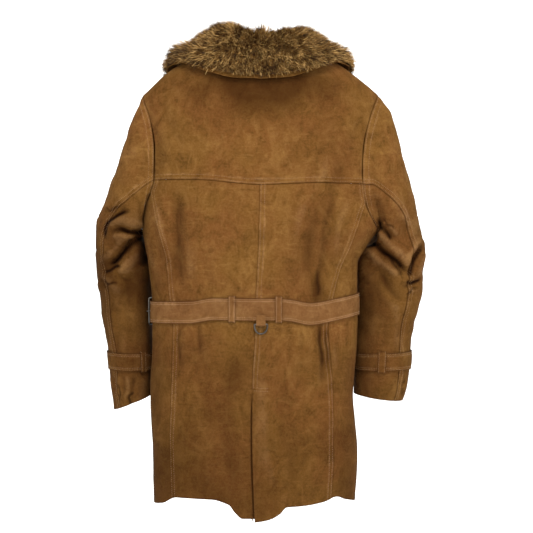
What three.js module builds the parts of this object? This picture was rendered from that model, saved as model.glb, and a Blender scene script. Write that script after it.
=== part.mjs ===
// A belted suede three-quarter coat with a fur collar: filled out, hollow, held at its neck.
// Millimetres, +Z up. The wearer faces +Y, so the back faces -Y and +X is the wearer's right.
// The origin is the centre of the neck opening, at the height of the side neck seams.
import * as THREE from 'three';

const WALL = 2.0; // suede with its pile backing
const SEAM_GAP = 0.3; // between neighbouring pieces
const ARMHOLE_GAP = 0.7; // round the sleeves and along their seams
const BACK = -1;
const FRONT = 1;
const LEFT = -1; // wearer's left, -X
const RIGHT = 1;

// ---------------------------------------------------------------- tables and small helpers

function table(names, rows) {
  const columns = {};
  names.forEach((name, k) => { columns[name] = rows.map((row) => row[k]); });
  return columns;
}

const clamp = (value, low, high) => Math.min(Math.max(value, low), high);
const mix = (a, b, t) => a + (b - a) * t;
const steps = (count) => Array.from({ length: count + 1 }, (_, k) => k / count);

function ease(low, high, value) {
  const t = clamp((value - low) / (high - low), 0, 1);
  return t * t * (3 - 2 * t);
}

// Column `to` where the rising column `from` is `at`, on a smooth curve through the rows that
// never overshoots them.
function read(columns, from, to, at) {
  const x = columns[from];
  const y = columns[to];
  const last = x.length - 1;
  if (at <= x[0]) return y[0];
  if (at >= x[last]) return y[last];
  let k = 0;
  while (at > x[k + 1]) k += 1;
  const slope = (i) => (y[i + 1] - y[i]) / (x[i + 1] - x[i]);
  const tangent = (i) => {
    if (i === 0) return slope(0);
    if (i === last) return slope(last - 1);
    const [a, b] = [slope(i - 1), slope(i)];
    return a * b <= 0 ? 0 : 2 * a * b / (a + b);
  };
  const span = x[k + 1] - x[k];
  const t = (at - x[k]) / span;
  const t2 = t * t;
  const t3 = t2 * t;
  return (2 * t3 - 3 * t2 + 1) * y[k] + (t3 - 2 * t2 + t) * span * tangent(k)
    + (3 * t2 - 2 * t3) * y[k + 1] + (t3 - t2) * span * tangent(k + 1);
}

// A closed wall between two grids of points, rows by columns, facing out.
function wall(outer, inner) {
  const rows = outer.length;
  const cols = outer[0].length;
  const points = [...outer.flat(), ...inner.flat()];
  const at = (layer, i, j) => layer * rows * cols + i * cols + j;
  const faces = [];
  const quad = (a, b, c, d) => faces.push(a, b, c, a, c, d);
  for (let i = 0; i < rows - 1; i += 1) {
    for (let j = 0; j < cols - 1; j += 1) {
      quad(at(0, i, j), at(0, i, j + 1), at(0, i + 1, j + 1), at(0, i + 1, j));
      faces.push(at(1, i, j), at(1, i + 1, j + 1), at(1, i, j + 1));
      faces.push(at(1, i, j), at(1, i + 1, j), at(1, i + 1, j + 1));
    }
  }
  for (let j = 0; j < cols - 1; j += 1) {
    quad(at(1, 0, j), at(1, 0, j + 1), at(0, 0, j + 1), at(0, 0, j));
    quad(at(0, rows - 1, j), at(0, rows - 1, j + 1), at(1, rows - 1, j + 1), at(1, rows - 1, j));
  }
  for (let i = 0; i < rows - 1; i += 1) {
    quad(at(0, i, 0), at(0, i + 1, 0), at(1, i + 1, 0), at(1, i, 0));
    quad(at(1, i, cols - 1), at(1, i + 1, cols - 1), at(0, i + 1, cols - 1), at(0, i, cols - 1));
  }
  return solid(points, faces);
}

// A closed tube of round section along a closed or open run of points in a plane.
function rod(path, radius, sides, across, closed) {
  const count = path.length;
  const points = [];
  path.forEach((point, k) => {
    const before = path[closed ? (k + count - 1) % count : Math.max(k - 1, 0)];
    const after = path[closed ? (k + 1) % count : Math.min(k + 1, count - 1)];
    const along = after.clone().sub(before).normalize();
    const side = along.clone().cross(across).normalize();
    for (let s = 0; s < sides; s += 1) {
      const angle = 2 * Math.PI * s / sides;
      points.push(point.clone().addScaledVector(side, radius * Math.cos(angle))
        .addScaledVector(across, radius * Math.sin(angle)));
    }
  });
  const faces = [];
  for (let k = 0; k < (closed ? count : count - 1); k += 1) {
    for (let s = 0; s < sides; s += 1) {
      const next = ((k + 1) % count) * sides;
      const turn = (s + 1) % sides;
      faces.push(k * sides + s, k * sides + turn, next + turn);
      faces.push(k * sides + s, next + turn, next + s);
    }
  }
  if (!closed) {
    for (let s = 1; s < sides - 1; s += 1) {
      faces.push(0, s + 1, s);
      faces.push((count - 1) * sides, (count - 1) * sides + s, (count - 1) * sides + s + 1);
    }
  }
  return solid(points, faces);
}

// Points and triangles as a geometry, turned so that its faces point out.
function solid(points, faces) {
  let volume = 0;
  for (let k = 0; k < faces.length; k += 3) {
    const [a, b, c] = [points[faces[k]], points[faces[k + 1]], points[faces[k + 2]]];
    volume += a.dot(b.clone().cross(c));
  }
  if (volume < 0) faces.reverse();
  const geometry = new THREE.BufferGeometry();
  geometry.setAttribute('position', new THREE.Float32BufferAttribute(
    points.flatMap((p) => [p.x, p.y, p.z]), 3));
  geometry.setIndex(faces);
  return geometry;
}

// ---------------------------------------------------------------- the body of the coat

const ARMPIT = -374; // height of the armhole's lowest point
const SHOULDER_Y = -5; // where the shoulder seams run, front to back
const SQUARE = 2.3; // power of the body's rounded-square sections
const OVER = 2.6; // power of the curve over the shoulders

const BODY = table(['z', 'centre', 'half', 'back', 'front'], [
  [-940, -16, 204, 128, 131],
  [-823, -14.5, 209.5, 125, 128],
  [-710, -21, 207, 120, 123],
  [-600, -15, 209, 111, 114],
  [-530, -15, 209, 106, 110],
  [-440, -19, 213, 112, 118],
  [-410, -14, 224, 115, 122],
  [ARMPIT, -3.5, 241.5, 118, 126],
]);

// The ridge that the shoulder seams follow; between the necks it is only a guide for the curve.
const RIDGE = table(['x', 'z'], [
  [-245, -102], [-225, -83], [-206, -65], [-193, -54], [-168, -37], [-125, -17], [-80, 0],
  [0, 12], [80, 0], [125, -20], [168, -45], [184, -57], [209, -76], [229, -93], [245, -108],
]);

// Height of the hem, by the angle round the body in degrees.
const HEM = table(['degrees', 'z'], [
  [-180, -914], [-90, -925], [-60, -914], [-44, -897], [-20, -895], [-10.7, -904],
  [-7.7, -919], [-4.2, -930], [-0.4, -930], [0.1, -936], [5, -933], [11, -922], [15, -909],
  [24, -908], [38, -904], [48, -897], [60, -907], [90, -921], [180, -914],
]);

const ARMHOLE = {
  [LEFT]: {
    [BACK]: table(['z', 'x'], [
      [ARMPIT, -245], [-350, -241], [-321, -231], [-297, -220], [-277, -214], [-216, -213],
      [-156, -223], [-103, -243],
    ]),
    [FRONT]: table(['z', 'x'], [
      [ARMPIT, -245], [-350, -236], [-318, -218], [-280, -206], [-220, -203], [-160, -216],
      [-103, -243],
    ]),
  },
  [RIGHT]: {
    [BACK]: table(['z', 'x'], [
      [ARMPIT, 238], [-360, 224], [-329, 207], [-293, 199], [-253, 197], [-204, 201],
      [-156, 213], [-99, 235],
    ]),
    [FRONT]: table(['z', 'x'], [
      [ARMPIT, 238], [-352, 218], [-318, 198], [-265, 190], [-215, 193], [-160, 207],
      [-99, 235],
    ]),
  },
};

// The long seams between the side panels and the back or front panels, hem to armhole.
const SIDE_SEAM = {
  [LEFT]: {
    [BACK]: table(['z', 'x'], [
      [-898, -177], [-792, -181], [-692, -177], [-564, -175], [-505, -183], [-431, -190],
      [-372, -204], [-300, -221],
    ]),
    [FRONT]: table(['z', 'x'], [
      [-914, -150], [-700, -152], [-530, -150], [-440, -165], [-372, -188], [-318, -218],
    ]),
  },
  [RIGHT]: {
    [BACK]: table(['z', 'x'], [
      [-902, 135], [-825, 139], [-725, 139], [-625, 133], [-564, 129], [-497, 143],
      [-458, 153], [-391, 180], [-322, 204],
    ]),
    [FRONT]: table(['z', 'x'], [
      [-914, 116], [-700, 118], [-530, 116], [-440, 132], [-372, 162], [-318, 198],
    ]),
  },
};
const SEAM_TOP = {
  [LEFT]: { [BACK]: -300, [FRONT]: -318 },
  [RIGHT]: { [BACK]: -322, [FRONT]: -318 },
};

const CENTRE_BACK = table(['z', 'x'], [
  [-934, -14], [-784, -18.5], [-673, -18.5], [-588, -13.5], [-504, -11.5], [-393, -6],
  [-289, -4], [0, 0],
]);
const VENT_TOP = -682;
const YOKE_SEAM = table(['x', 'z'], [
  [-213, -276], [-119, -279], [-4, -289], [132, -284], [197, -284],
]);
const NECK = { half: 80, backDrop: 25 }; // half width at the side seams, drop at centre back
const BREAK = -272; // height where the collar starts, at the top button
const OVERLAP = 30; // each front edge passes the centre line by this much

// Soft troughs in the cloth: seen face, width and depth, and a run of x, z points.
const TROUGHS = [
  { face: BACK, width: 20, depth: 7, run: [[-176, -312], [-171, -400], [-166, -492]] },
  { face: BACK, width: 20, depth: 6, run: [[140, -262], [110, -347], [92, -488]] },
  { face: BACK, width: 16, depth: 6, run: [[112, -572], [115, -640]] },
  { face: BACK, width: 26, depth: 6, run: [[-72, -640], [-46, -760], [-34, -880]] },
  { face: BACK, width: 24, depth: 4, run: [[38, -690], [50, -880]] },
  { face: FRONT, width: 24, depth: 6, run: [[-150, -330], [-120, -410], [-112, -490]] },
  { face: FRONT, width: 24, depth: 6, run: [[128, -320], [104, -400], [92, -490]] },
  { face: FRONT, width: 28, depth: 5, run: [[-88, -600], [-96, -740], [-104, -880]] },
  { face: FRONT, width: 28, depth: 5, run: [[84, -610], [90, -750], [100, -880]] },
];

function distanceToRun(run, x, z) {
  let nearest = Infinity;
  for (let k = 0; k < run.length - 1; k += 1) {
    const [ax, az] = run[k];
    const [bx, bz] = run[k + 1];
    const along = clamp(((x - ax) * (bx - ax) + (z - az) * (bz - az))
      / ((bx - ax) ** 2 + (bz - az) ** 2), 0, 1);
    nearest = Math.min(nearest, Math.hypot(x - mix(ax, bx, along), z - mix(az, bz, along)));
  }
  return nearest;
}

function troughDepth(troughs, face, x, z) {
  let depth = 0;
  troughs.filter((trough) => trough.face === face).forEach((trough) => {
    const reach = distanceToRun(trough.run, x, z) / trough.width;
    depth += trough.depth * Math.exp(-reach * reach * 2);
  });
  return depth;
}

const ridgeHeight = (x) => read(RIDGE, 'x', 'z', x);
const rounded = (value) => Math.sign(value) * Math.abs(value) ** (2 / SQUARE);

// A point of the plain body. `phi` is 0 at centre back and grows towards the wearer's right.
// Above the armpit `rise` runs from 0 to 1 at the shoulder ridge; below it `z` is used.
function bodyPoint(phi, z, rise) {
  const level = Math.min(z, ARMPIT);
  const side = Math.cos(phi) > 0 ? 'back' : 'front';
  const x = read(BODY, 'z', 'centre', level) + read(BODY, 'z', 'half', level) * rounded(Math.sin(phi));
  const ringY = -read(BODY, 'z', side, level) * rounded(Math.cos(phi));
  if (rise === undefined) return new THREE.Vector3(x, ringY, level);
  const left = Math.max(1 - rise ** OVER, 0) ** (1 / OVER);
  const seamY = SHOULDER_Y + (side === 'back' ? -1 : 1) * SEAM_GAP / 2;
  return new THREE.Vector3(x, mix(seamY, ringY, left), mix(ARMPIT, ridgeHeight(x), rise));
}

function riseAt(phi, z) {
  if (z <= ARMPIT) return undefined;
  const x = bodyPoint(phi, ARMPIT).x;
  return clamp((z - ARMPIT) / (ridgeHeight(x) - ARMPIT), 0, 1);
}

function bodyNormal(phi, z, rise) {
  const turn = 0.01;
  const ahead = rise === undefined ? undefined : clamp(rise, 0.004, 0.9999);
  const step = rise === undefined ? 2 : 0.00008;
  const low = rise === undefined ? bodyPoint(phi, z - step) : bodyPoint(phi, z, ahead - step);
  const high = rise === undefined ? bodyPoint(phi, z) : bodyPoint(phi, z, ahead);
  const round = bodyPoint(phi + turn, z, ahead).sub(bodyPoint(phi - turn, z, ahead));
  const normal = round.cross(high.sub(low)).normalize();
  if (rise === undefined) return normal;
  const { x } = bodyPoint(phi, ARMPIT, rise);
  const slope = (ridgeHeight(x + 1) - ridgeHeight(x - 1)) / 2;
  const overRidge = new THREE.Vector3(-slope, 0, 1).normalize();
  return normal.lerp(overRidge, ease(0.9, 1, rise)).normalize();
}

// A point on the coat at `out` millimetres outside the cloth's outer face.
function coat(phi, z, out = 0, rise = riseAt(phi, z)) {
  const point = bodyPoint(phi, z, rise);
  const face = Math.cos(phi) > 0 ? BACK : FRONT;
  const sunk = troughDepth(TROUGHS, face, point.x, point.z) * ease(0, 0.35, Math.abs(Math.cos(phi)));
  return point.addScaledVector(bodyNormal(phi, z, rise), out - sunk);
}

// The angle where the body's face has this x at this height.
function angleAt(x, z, face) {
  const level = Math.min(z, ARMPIT);
  const share = (x - read(BODY, 'z', 'centre', level)) / read(BODY, 'z', 'half', level);
  const angle = Math.sign(share) * Math.asin(Math.min(Math.abs(share), 1) ** (SQUARE / 2));
  if (face === BACK) return angle;
  return angle >= 0 ? Math.PI - angle : -Math.PI - angle;
}

const hemHeight = (phi) => read(HEM, 'degrees', 'z', THREE.MathUtils.radToDeg(phi));

function panel(rows, cols, place) {
  const outer = [];
  const inner = [];
  rows.forEach((row) => {
    const spots = cols.map((col) => place(row, col));
    outer.push(spots.map(({ phi, z, rise, sunk = 0 }) => coat(phi, z, -sunk, rise)));
    inner.push(spots.map(({ phi, z, rise, sunk = 0 }) => coat(phi, z, -sunk - WALL, rise)));
  });
  return wall(outer, inner);
}

// Rows from the hem to the top of the long seams.
const LONG_ROWS = [0, 0.08, 0.18, 0.28, 0.38, 0.48, 0.56, 0.64, 0.71, 0.78, 0.85, 0.92, 1];
const YOKE_ROWS = steps(7);
const FRONT_UPPER_ROWS = steps(8).slice(1).map((row) => row + 1);
const BACK_COLUMNS = [0, 0.12, 0.23, 0.3292, 0.45, 0.58, 0.72, 0.86, 1];
const FRONT_COLUMNS = steps(7);
const SIDE_COLUMNS = steps(8);

const seamX = (side, face, z) => read(SIDE_SEAM[side][face], 'z', 'x', z);
const armX = (side, face, z) => read(ARMHOLE[side][face], 'z', 'x', z);

// Outer edge of a back or front panel: the long seam up to row 1, then the armhole above it.
function outerEdge(side, face, z, row) {
  return row <= 1 ? seamX(side, face, z) - side * SEAM_GAP / 2 : armX(side, face, z);
}

function backPanel(side) {
  const seamTop = SEAM_TOP[side][BACK];
  const inside = (z) => read(CENTRE_BACK, 'z', 'x', z) + side * SEAM_GAP / 2;
  return panel([...LONG_ROWS, 1.5, 2], BACK_COLUMNS, (row, col) => {
    const xAt = (z) => mix(inside(z), outerEdge(side, BACK, z, row), col);
    const hem = hemHeight(angleAt(xAt(-912), -912, BACK));
    const top = read(YOKE_SEAM, 'x', 'z', xAt(-281)) - SEAM_GAP / 2;
    const shoulderBlade = mix(-311, seamTop, col); // level of row 1
    const z = row <= 1 ? mix(hem, shoulderBlade, row) : mix(shoulderBlade, top, row - 1);
    return { phi: angleAt(xAt(z), z, BACK), z };
  });
}

// The strip under the vent's open edge, sewn inside the left back panel.
function ventUnderlap() {
  const width = { under: 14, beyond: 36 };
  return panel(steps(8), steps(4), (row, col) => {
    const z = mix(-924, VENT_TOP + 12, row);
    const centre = read(CENTRE_BACK, 'z', 'x', z);
    const x = mix(centre - width.under, centre + width.beyond, col);
    return { phi: angleAt(x, z, BACK), z, sunk: WALL + 2.4 };
  });
}

function neckHeight(x) {
  const share = Math.min(Math.abs(x) / NECK.half, 1);
  return -NECK.backDrop * (1 - share ** 2.4) ** 0.6;
}

// A spot part way up a column of the upper body, from height `low` to the shoulder or neck.
// `xAt` gives the column's x at a height, and `row` runs from 0 to 1 over the curve.
function climb(xAt, face, low, row) {
  let z = low;
  let x = xAt(z);
  let rise = 0;
  for (let pass = 0; pass < 6; pass += 1) {
    const span = ridgeHeight(x) - ARMPIT;
    const swing = (height) => Math.asin(clamp((height - ARMPIT) / span, 0, 1) ** (OVER / 2));
    const open = face === BACK && Math.abs(x) < NECK.half - 0.2;
    const top = open ? swing(neckHeight(x)) : Math.PI / 2;
    rise = Math.sin(mix(swing(low), top, row)) ** (2 / OVER);
    z = ARMPIT + span * rise;
    x = xAt(z);
  }
  return { phi: angleAt(x, z, face), z, rise };
}

function yoke() {
  const across = [...BACK_COLUMNS.slice(1).reverse().map((col) => -col), ...BACK_COLUMNS];
  return panel(YOKE_ROWS, across, (row, col) => {
    const side = col < 0 ? LEFT : RIGHT;
    const xAt = (z) => mix(read(CENTRE_BACK, 'z', 'x', z), armX(side, BACK, z), Math.abs(col));
    const low = read(YOKE_SEAM, 'x', 'z', xAt(-281)) + SEAM_GAP / 2;
    return climb(xAt, BACK, low, row);
  });
}

// Inner edge of a front: past the centre line below the break, then along the open neck.
function frontEdge(side, z) {
  const open = clamp((z - BREAK) / -BREAK, 0, 1);
  return side * mix(-OVERLAP, NECK.half, open ** 0.85);
}

function frontPanel(side) {
  const seamTop = SEAM_TOP[side][FRONT];
  return panel([...LONG_ROWS, ...FRONT_UPPER_ROWS], FRONT_COLUMNS, (row, col) => {
    const xAt = (z) => mix(frontEdge(side, z), outerEdge(side, FRONT, z, row), col);
    const hem = hemHeight(angleAt(xAt(-914), -914, FRONT));
    const z = mix(hem, seamTop, Math.min(row, 1));
    const spot = row <= 1 ? { phi: angleAt(xAt(z), z, FRONT), z } : climb(xAt, FRONT, seamTop, row - 1);
    const under = side === RIGHT ? 3.2 * (1 - ease(34, 66, xAt(spot.z))) : 0;
    return { ...spot, sunk: under };
  });
}

// Angle of a side panel's column at a height, between its two long seams.
function sideAngle(side, z, col) {
  const seam = (face) => {
    const x = seamX(side, face, Math.min(z, SEAM_TOP[side][face]));
    return angleAt(x + side * SEAM_GAP / 2, z, face);
  };
  return mix(seam(BACK), seam(FRONT), col);
}

// Where a side panel's column meets the armhole, found by halving.
function sideTop(side, col) {
  if (col === 0) return SEAM_TOP[side][BACK];
  if (col === 1) return SEAM_TOP[side][FRONT];
  let low = ARMPIT;
  let high = Math.max(SEAM_TOP[side][BACK], SEAM_TOP[side][FRONT]);
  for (let pass = 0; pass < 30; pass += 1) {
    const z = (low + high) / 2;
    const phi = sideAngle(side, z, col);
    const face = Math.cos(phi) > 0 ? BACK : FRONT;
    if (Math.abs(bodyPoint(phi, ARMPIT).x) < Math.abs(armX(side, face, z))) low = z;
    else high = z;
  }
  return low;
}

function sidePanel(side) {
  return panel(LONG_ROWS, SIDE_COLUMNS, (row, col) => {
    const hem = hemHeight(sideAngle(side, -912, col));
    const z = mix(hem, sideTop(side, col), row);
    return { phi: sideAngle(side, z, col), z };
  });
}

// ---------------------------------------------------------------- the sleeves

// Sections down a sleeve. `mid` is the depth of a section's middle below the origin, `outer`
// and `inner` its ends across the coat, `rise` how far the outer end is above the middle, `y`,
// `back` and `front` its middle and reach along Y, `bow` how far it leans in towards the body
// at the armhole, `hind` and `fore` the angles of its two seams.
const SLEEVE_COLUMNS = ['mid', 'outer', 'inner', 'rise', 'y', 'back', 'front', 'bow', 'hind', 'fore'];
const SLEEVE = {
  [LEFT]: table(SLEEVE_COLUMNS, [
    [238, -243, -245, 136, -2, 66, 70, 31, 107, -126],
    [256, -258, -246, 129, 0, 70, 73, 24, 103, -126],
    [286, -275, -245, 106, 2, 75, 77, 13, 97, -124],
    [323, -297, -243, 77, 4, 79, 80, 5, 86, -122],
    [361, -323, -240, 50, 12, 79, 80, 0, 70, -120],
    [402, -344, -234, 30, 26, 76, 77, 0, 60, -120],
    [432, -347, -231, 22, 32, 74, 75, 0, 58, -120],
    [470, -345, -232, 15, 38, 72, 73, 0, 62, -120],
    [510, -340, -233, 10, 42, 70, 71, 0, 64, -120],
    [561, -334, -233, 5, 44, 68, 68, 0, 64, -120],
    [609, -324, -229, 2, 46, 65, 65, 0, 62, -120],
    [657, -319, -228, 1, 46, 62, 62, 0, 60, -120],
    [701, -317, -227, 0, 46, 60, 60, 0, 58, -120],
    [728, -310, -226, -17, 46, 59, 59, 0, 57, -120],
  ]),
  [RIGHT]: table(SLEEVE_COLUMNS, [
    [236.5, 235, 238, 137.5, -2, 66, 70, 38, 107, -126],
    [256, 257, 238, 130, 0, 70, 73, 26, 103, -126],
    [286, 275, 236, 106, 2, 75, 77, 14, 97, -124],
    [322, 295, 230, 77, 8, 79, 80, 6, 86, -122],
    [361, 313, 214, 50, 22, 80, 81, 0, 70, -120],
    [398, 327, 200, 30, 34, 77, 78, 0, 60, -120],
    [432, 339, 194, 22, 37, 75, 76, 0, 58, -120],
    [470, 336, 195, 14, 38, 73, 74, 0, 62, -120],
    [510, 334, 195, 10, 42, 70, 71, 0, 64, -120],
    [556, 322, 195, 6, 44, 68, 68, 0, 64, -120],
    [605, 312, 192, 3, 46, 65, 65, 0, 62, -120],
    [655, 309, 191, 1, 46, 62, 62, 0, 60, -120],
    [700, 302, 190, 0, 46, 60, 60, 0, 58, -120],
    [719, 293, 190, -7, 46, 59, 59, 0, 57, -120],
  ]),
};
const SLEEVE_ROWS = [0, 22, 52, 88, 124, 152, 176, 200, 226, 262, 316, 376, 440, 486];

const ELBOW_FOLDS = {
  [LEFT]: [
    { face: BACK, width: 18, depth: 9, run: [[-243, -384], [-284, -430], [-322, -458]] },
    { face: BACK, width: 16, depth: 6, run: [[-312, -372], [-262, -342]] },
    { face: FRONT, width: 20, depth: 8, run: [[-250, -400], [-290, -420], [-330, -432]] },
    { face: FRONT, width: 18, depth: 6, run: [[-248, -450], [-300, -470]] },
  ],
  [RIGHT]: [
    { face: BACK, width: 18, depth: 8, run: [[219, -382], [244, -415], [296, -452]] },
    { face: BACK, width: 16, depth: 6, run: [[322, -405], [296, -452]] },
    { face: BACK, width: 16, depth: 5, run: [[256, -462], [288, -498]] },
    { face: FRONT, width: 20, depth: 8, run: [[222, -402], [270, -424], [320, -430]] },
    { face: FRONT, width: 18, depth: 6, run: [[216, -455], [280, -474]] },
  ],
};

// A point round a sleeve: angle 0 is its outer side, 90 degrees its back, 180 its inner side.
function sleevePoint(side, mid, angle) {
  const get = (key) => read(SLEEVE[side], 'mid', key, mid);
  const across = Math.cos(angle);
  const behind = Math.sin(angle);
  const middle = (get('outer') + get('inner')) / 2;
  const half = (get('outer') - get('inner')) / 2;
  const depth = behind > 0 ? get('back') : get('front');
  return new THREE.Vector3(
    middle + half * across - side * get('bow') * Math.abs(behind) ** 3,
    get('y') - depth * behind,
    -mid + get('rise') * across,
  );
}

// A point `out` millimetres outside a sleeve.
function sleeve(side, mid, angle, out = 0) {
  const first = SLEEVE[side].mid[0];
  const last = SLEEVE[side].mid.at(-1);
  const point = sleevePoint(side, mid, angle);
  const round = sleevePoint(side, mid, angle + 0.02).sub(sleevePoint(side, mid, angle - 0.02));
  const along = sleevePoint(side, Math.min(mid + 3, last), angle)
    .sub(sleevePoint(side, Math.max(mid - 3, first), angle));
  const normal = round.cross(along).multiplyScalar(side).normalize();
  const face = Math.sin(angle) > 0 ? BACK : FRONT;
  const sunk = troughDepth(ELBOW_FOLDS[side], face, point.x, point.z)
    * ease(0, 0.4, Math.abs(Math.sin(angle)));
  return { point: point.addScaledVector(normal, out - sunk), normal };
}

// The corners of the armhole in order: the front long seam, up the front, over the shoulder,
// down the back, under the arm and back to the start. `hind` is the hind sleeve seam's corner.
function armholeLoop(side) {
  const at = (face) => (z) => armX(side, face, z);
  const yokeLow = read(YOKE_SEAM, 'x', 'z', armX(side, BACK, -281));
  const [backTop, frontTop] = [SEAM_TOP[side][BACK], SEAM_TOP[side][FRONT]];
  const front = [1, ...FRONT_UPPER_ROWS].map((row) => climb(at(FRONT), FRONT, frontTop, row - 1));
  const yokeSide = YOKE_ROWS.slice(0, -1).reverse().map((row) => climb(at(BACK), BACK, yokeLow, row));
  const back = [0.5, 0].map((share) => {
    const z = mix(backTop, yokeLow, share);
    return { phi: angleAt(armX(side, BACK, z), z, BACK), z };
  });
  const under = SIDE_COLUMNS.slice(1, -1).map((col) => {
    const z = sideTop(side, col);
    return { phi: sideAngle(side, z, col), z };
  });
  const hind = front.length + yokeSide.length - 1;
  return { spots: [...front, ...yokeSide, ...back, ...under, front[0]], hind };
}

// A sleeve as rows of outer and inner points, with one column for each armhole corner.
function sleeveGrids(side) {
  const { spots, hind } = armholeLoop(side);
  const corners = spots.map(({ phi, z, rise = riseAt(phi, z) }) => ({
    back: Math.cos(phi) > 0, point: coat(phi, z, 0, rise), normal: bodyNormal(phi, z, rise),
  }));
  const count = corners.length - 1;
  corners.forEach((corner, j) => {
    const along = corners[(j + 1) % count].point.clone().sub(corners[(j + count - 1) % count].point);
    corner.away = corner.normal.clone().cross(along).multiplyScalar(side).normalize();
  });
  const [firstMid, lastMid] = [SLEEVE[side].mid[0], SLEEVE[side].mid.at(-1)];
  const angles = corners.map(({ back, point }, j) => {
    const angle = Math.acos(clamp((point.z + firstMid) / SLEEVE[side].rise[0], -1, 1));
    if (back) return angle;
    return j > hind ? 2 * Math.PI - angle : -angle;
  });
  const turn = 2 * Math.PI;
  const outer = [];
  const inner = [];
  SLEEVE_ROWS.forEach((row, k) => {
    const mid = mix(firstMid, lastMid, row / SLEEVE_ROWS.at(-1));
    const [hindAngle, foreAngle] = ['hind', 'fore'].map((key) => (
      THREE.MathUtils.degToRad(read(SLEEVE[side], 'mid', key, mid))));
    const ring = corners.map((corner, j) => {
      const top = (angles[j] - angles[0]) / (angles[hind] - angles[0]);
      const under = (angles[j] - angles[hind]) / (angles[0] + turn - angles[hind]);
      const angle = j <= hind
        ? mix(foreAngle, hindAngle, top) : mix(hindAngle, foreAngle + turn, under);
      const spot = sleeve(side, mid, angle);
      if (k > 0) return spot;
      const turned = ease(0.6, 1.5, Math.abs(Math.atan2(Math.sin(angle), Math.cos(angle))));
      const normal = corner.normal.clone().lerp(spot.normal, turned).normalize();
      const point = corner.point.clone().addScaledVector(corner.away, ARMHOLE_GAP)
        .addScaledVector(corner.normal, 2 * ARMHOLE_GAP * turned);
      return { point, normal };
    });
    outer.push(ring.map(({ point }) => point));
    inner.push(ring.map(({ point, normal }) => point.clone().addScaledVector(normal, -WALL)));
  });
  return { outer, inner, hind };
}

// Columns `from` to `to` of a grid, with both edge columns drawn in by half a gap.
function between(grid, from, to) {
  return grid.map((row) => {
    const cut = row.slice(from, to + 1).map((point) => point.clone());
    const drawIn = (edge, next) => {
      const along = next.clone().sub(edge).normalize();
      edge.addScaledVector(along, ARMHOLE_GAP / 2);
    };
    drawIn(cut[0], cut[1]);
    drawIn(cut.at(-1), cut.at(-2));
    return cut;
  });
}

function sleevePieces(side) {
  const { outer, inner, hind } = sleeveGrids(side);
  const last = outer[0].length - 1;
  return {
    top: wall(between(outer, 0, hind), between(inner, 0, hind)),
    under: wall(between(outer, hind, last), between(inner, hind, last)),
  };
}

// ---------------------------------------------------------------- the collar

// Half the collar, centre back to its front end. The neck seam and the outer edge are each an
// x and a swing over the shoulder: 0 and 180 degrees are the armpit's height behind and in
// front, and 90 is the shoulder ridge. `stand` is the height of its roll above the neck seam,
// `roll` how round the roll is, `lapel` how far it has turned from a stand into a lapel.
const COLLAR = table(['along', 'neckX', 'neckSwing', 'edgeX', 'edgeSwing', 'stand', 'roll', 'lapel'], [
  [0, 0, 60, 0, 43.2, 19, 27, 0],
  [0.125, 28, 61, 50, 45, 28, 27, 0],
  [0.25, 52, 64, 98, 51, 36, 27, 0],
  [0.375, 71, 70, 146, 66, 30, 26, 0],
  [0.5, 83, 90, 187, 88, 21, 22, 0.1],
  [0.625, 72, 121, 190, 118, 21, 22, 0.5],
  [0.75, 56, 137, 168, 140, 18, 20, 0.8],
  [0.875, 36, 150, 132, 152, 12, 18, 1],
  [1, 17, 160, 84, 158, 9, 16, 1],
]);
const COLLAR_REACH = { [LEFT]: 1.01, [RIGHT]: 0.92 }; // the collar sits a little to the left
const COLLAR_STAND = { [LEFT]: 1.04, [RIGHT]: 0.76 };
const COLLAR_WALL = 1.6;
const COLLAR_LIFT = { neck: 4.8, lapel: 2, edge: 9 }; // off the coat at the neck seam and edge
const FUR = table(['around', 'depth'], [
  [0, 4], [0.12, 8], [0.3, 11], [0.5, 13], [0.8, 13], [0.94, 6],
]);

// A point on the coat from an x and a swing over the shoulder in degrees, with its normal.
function overShoulder(x, swing, out) {
  const face = swing <= 90 ? BACK : FRONT;
  const rise = Math.sin(THREE.MathUtils.degToRad(swing)) ** (2 / OVER);
  const phi = angleAt(x, ARMPIT, face);
  const normal = bodyNormal(phi, 0, rise);
  return { point: bodyPoint(phi, 0, rise).addScaledVector(normal, out), normal };
}

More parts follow.
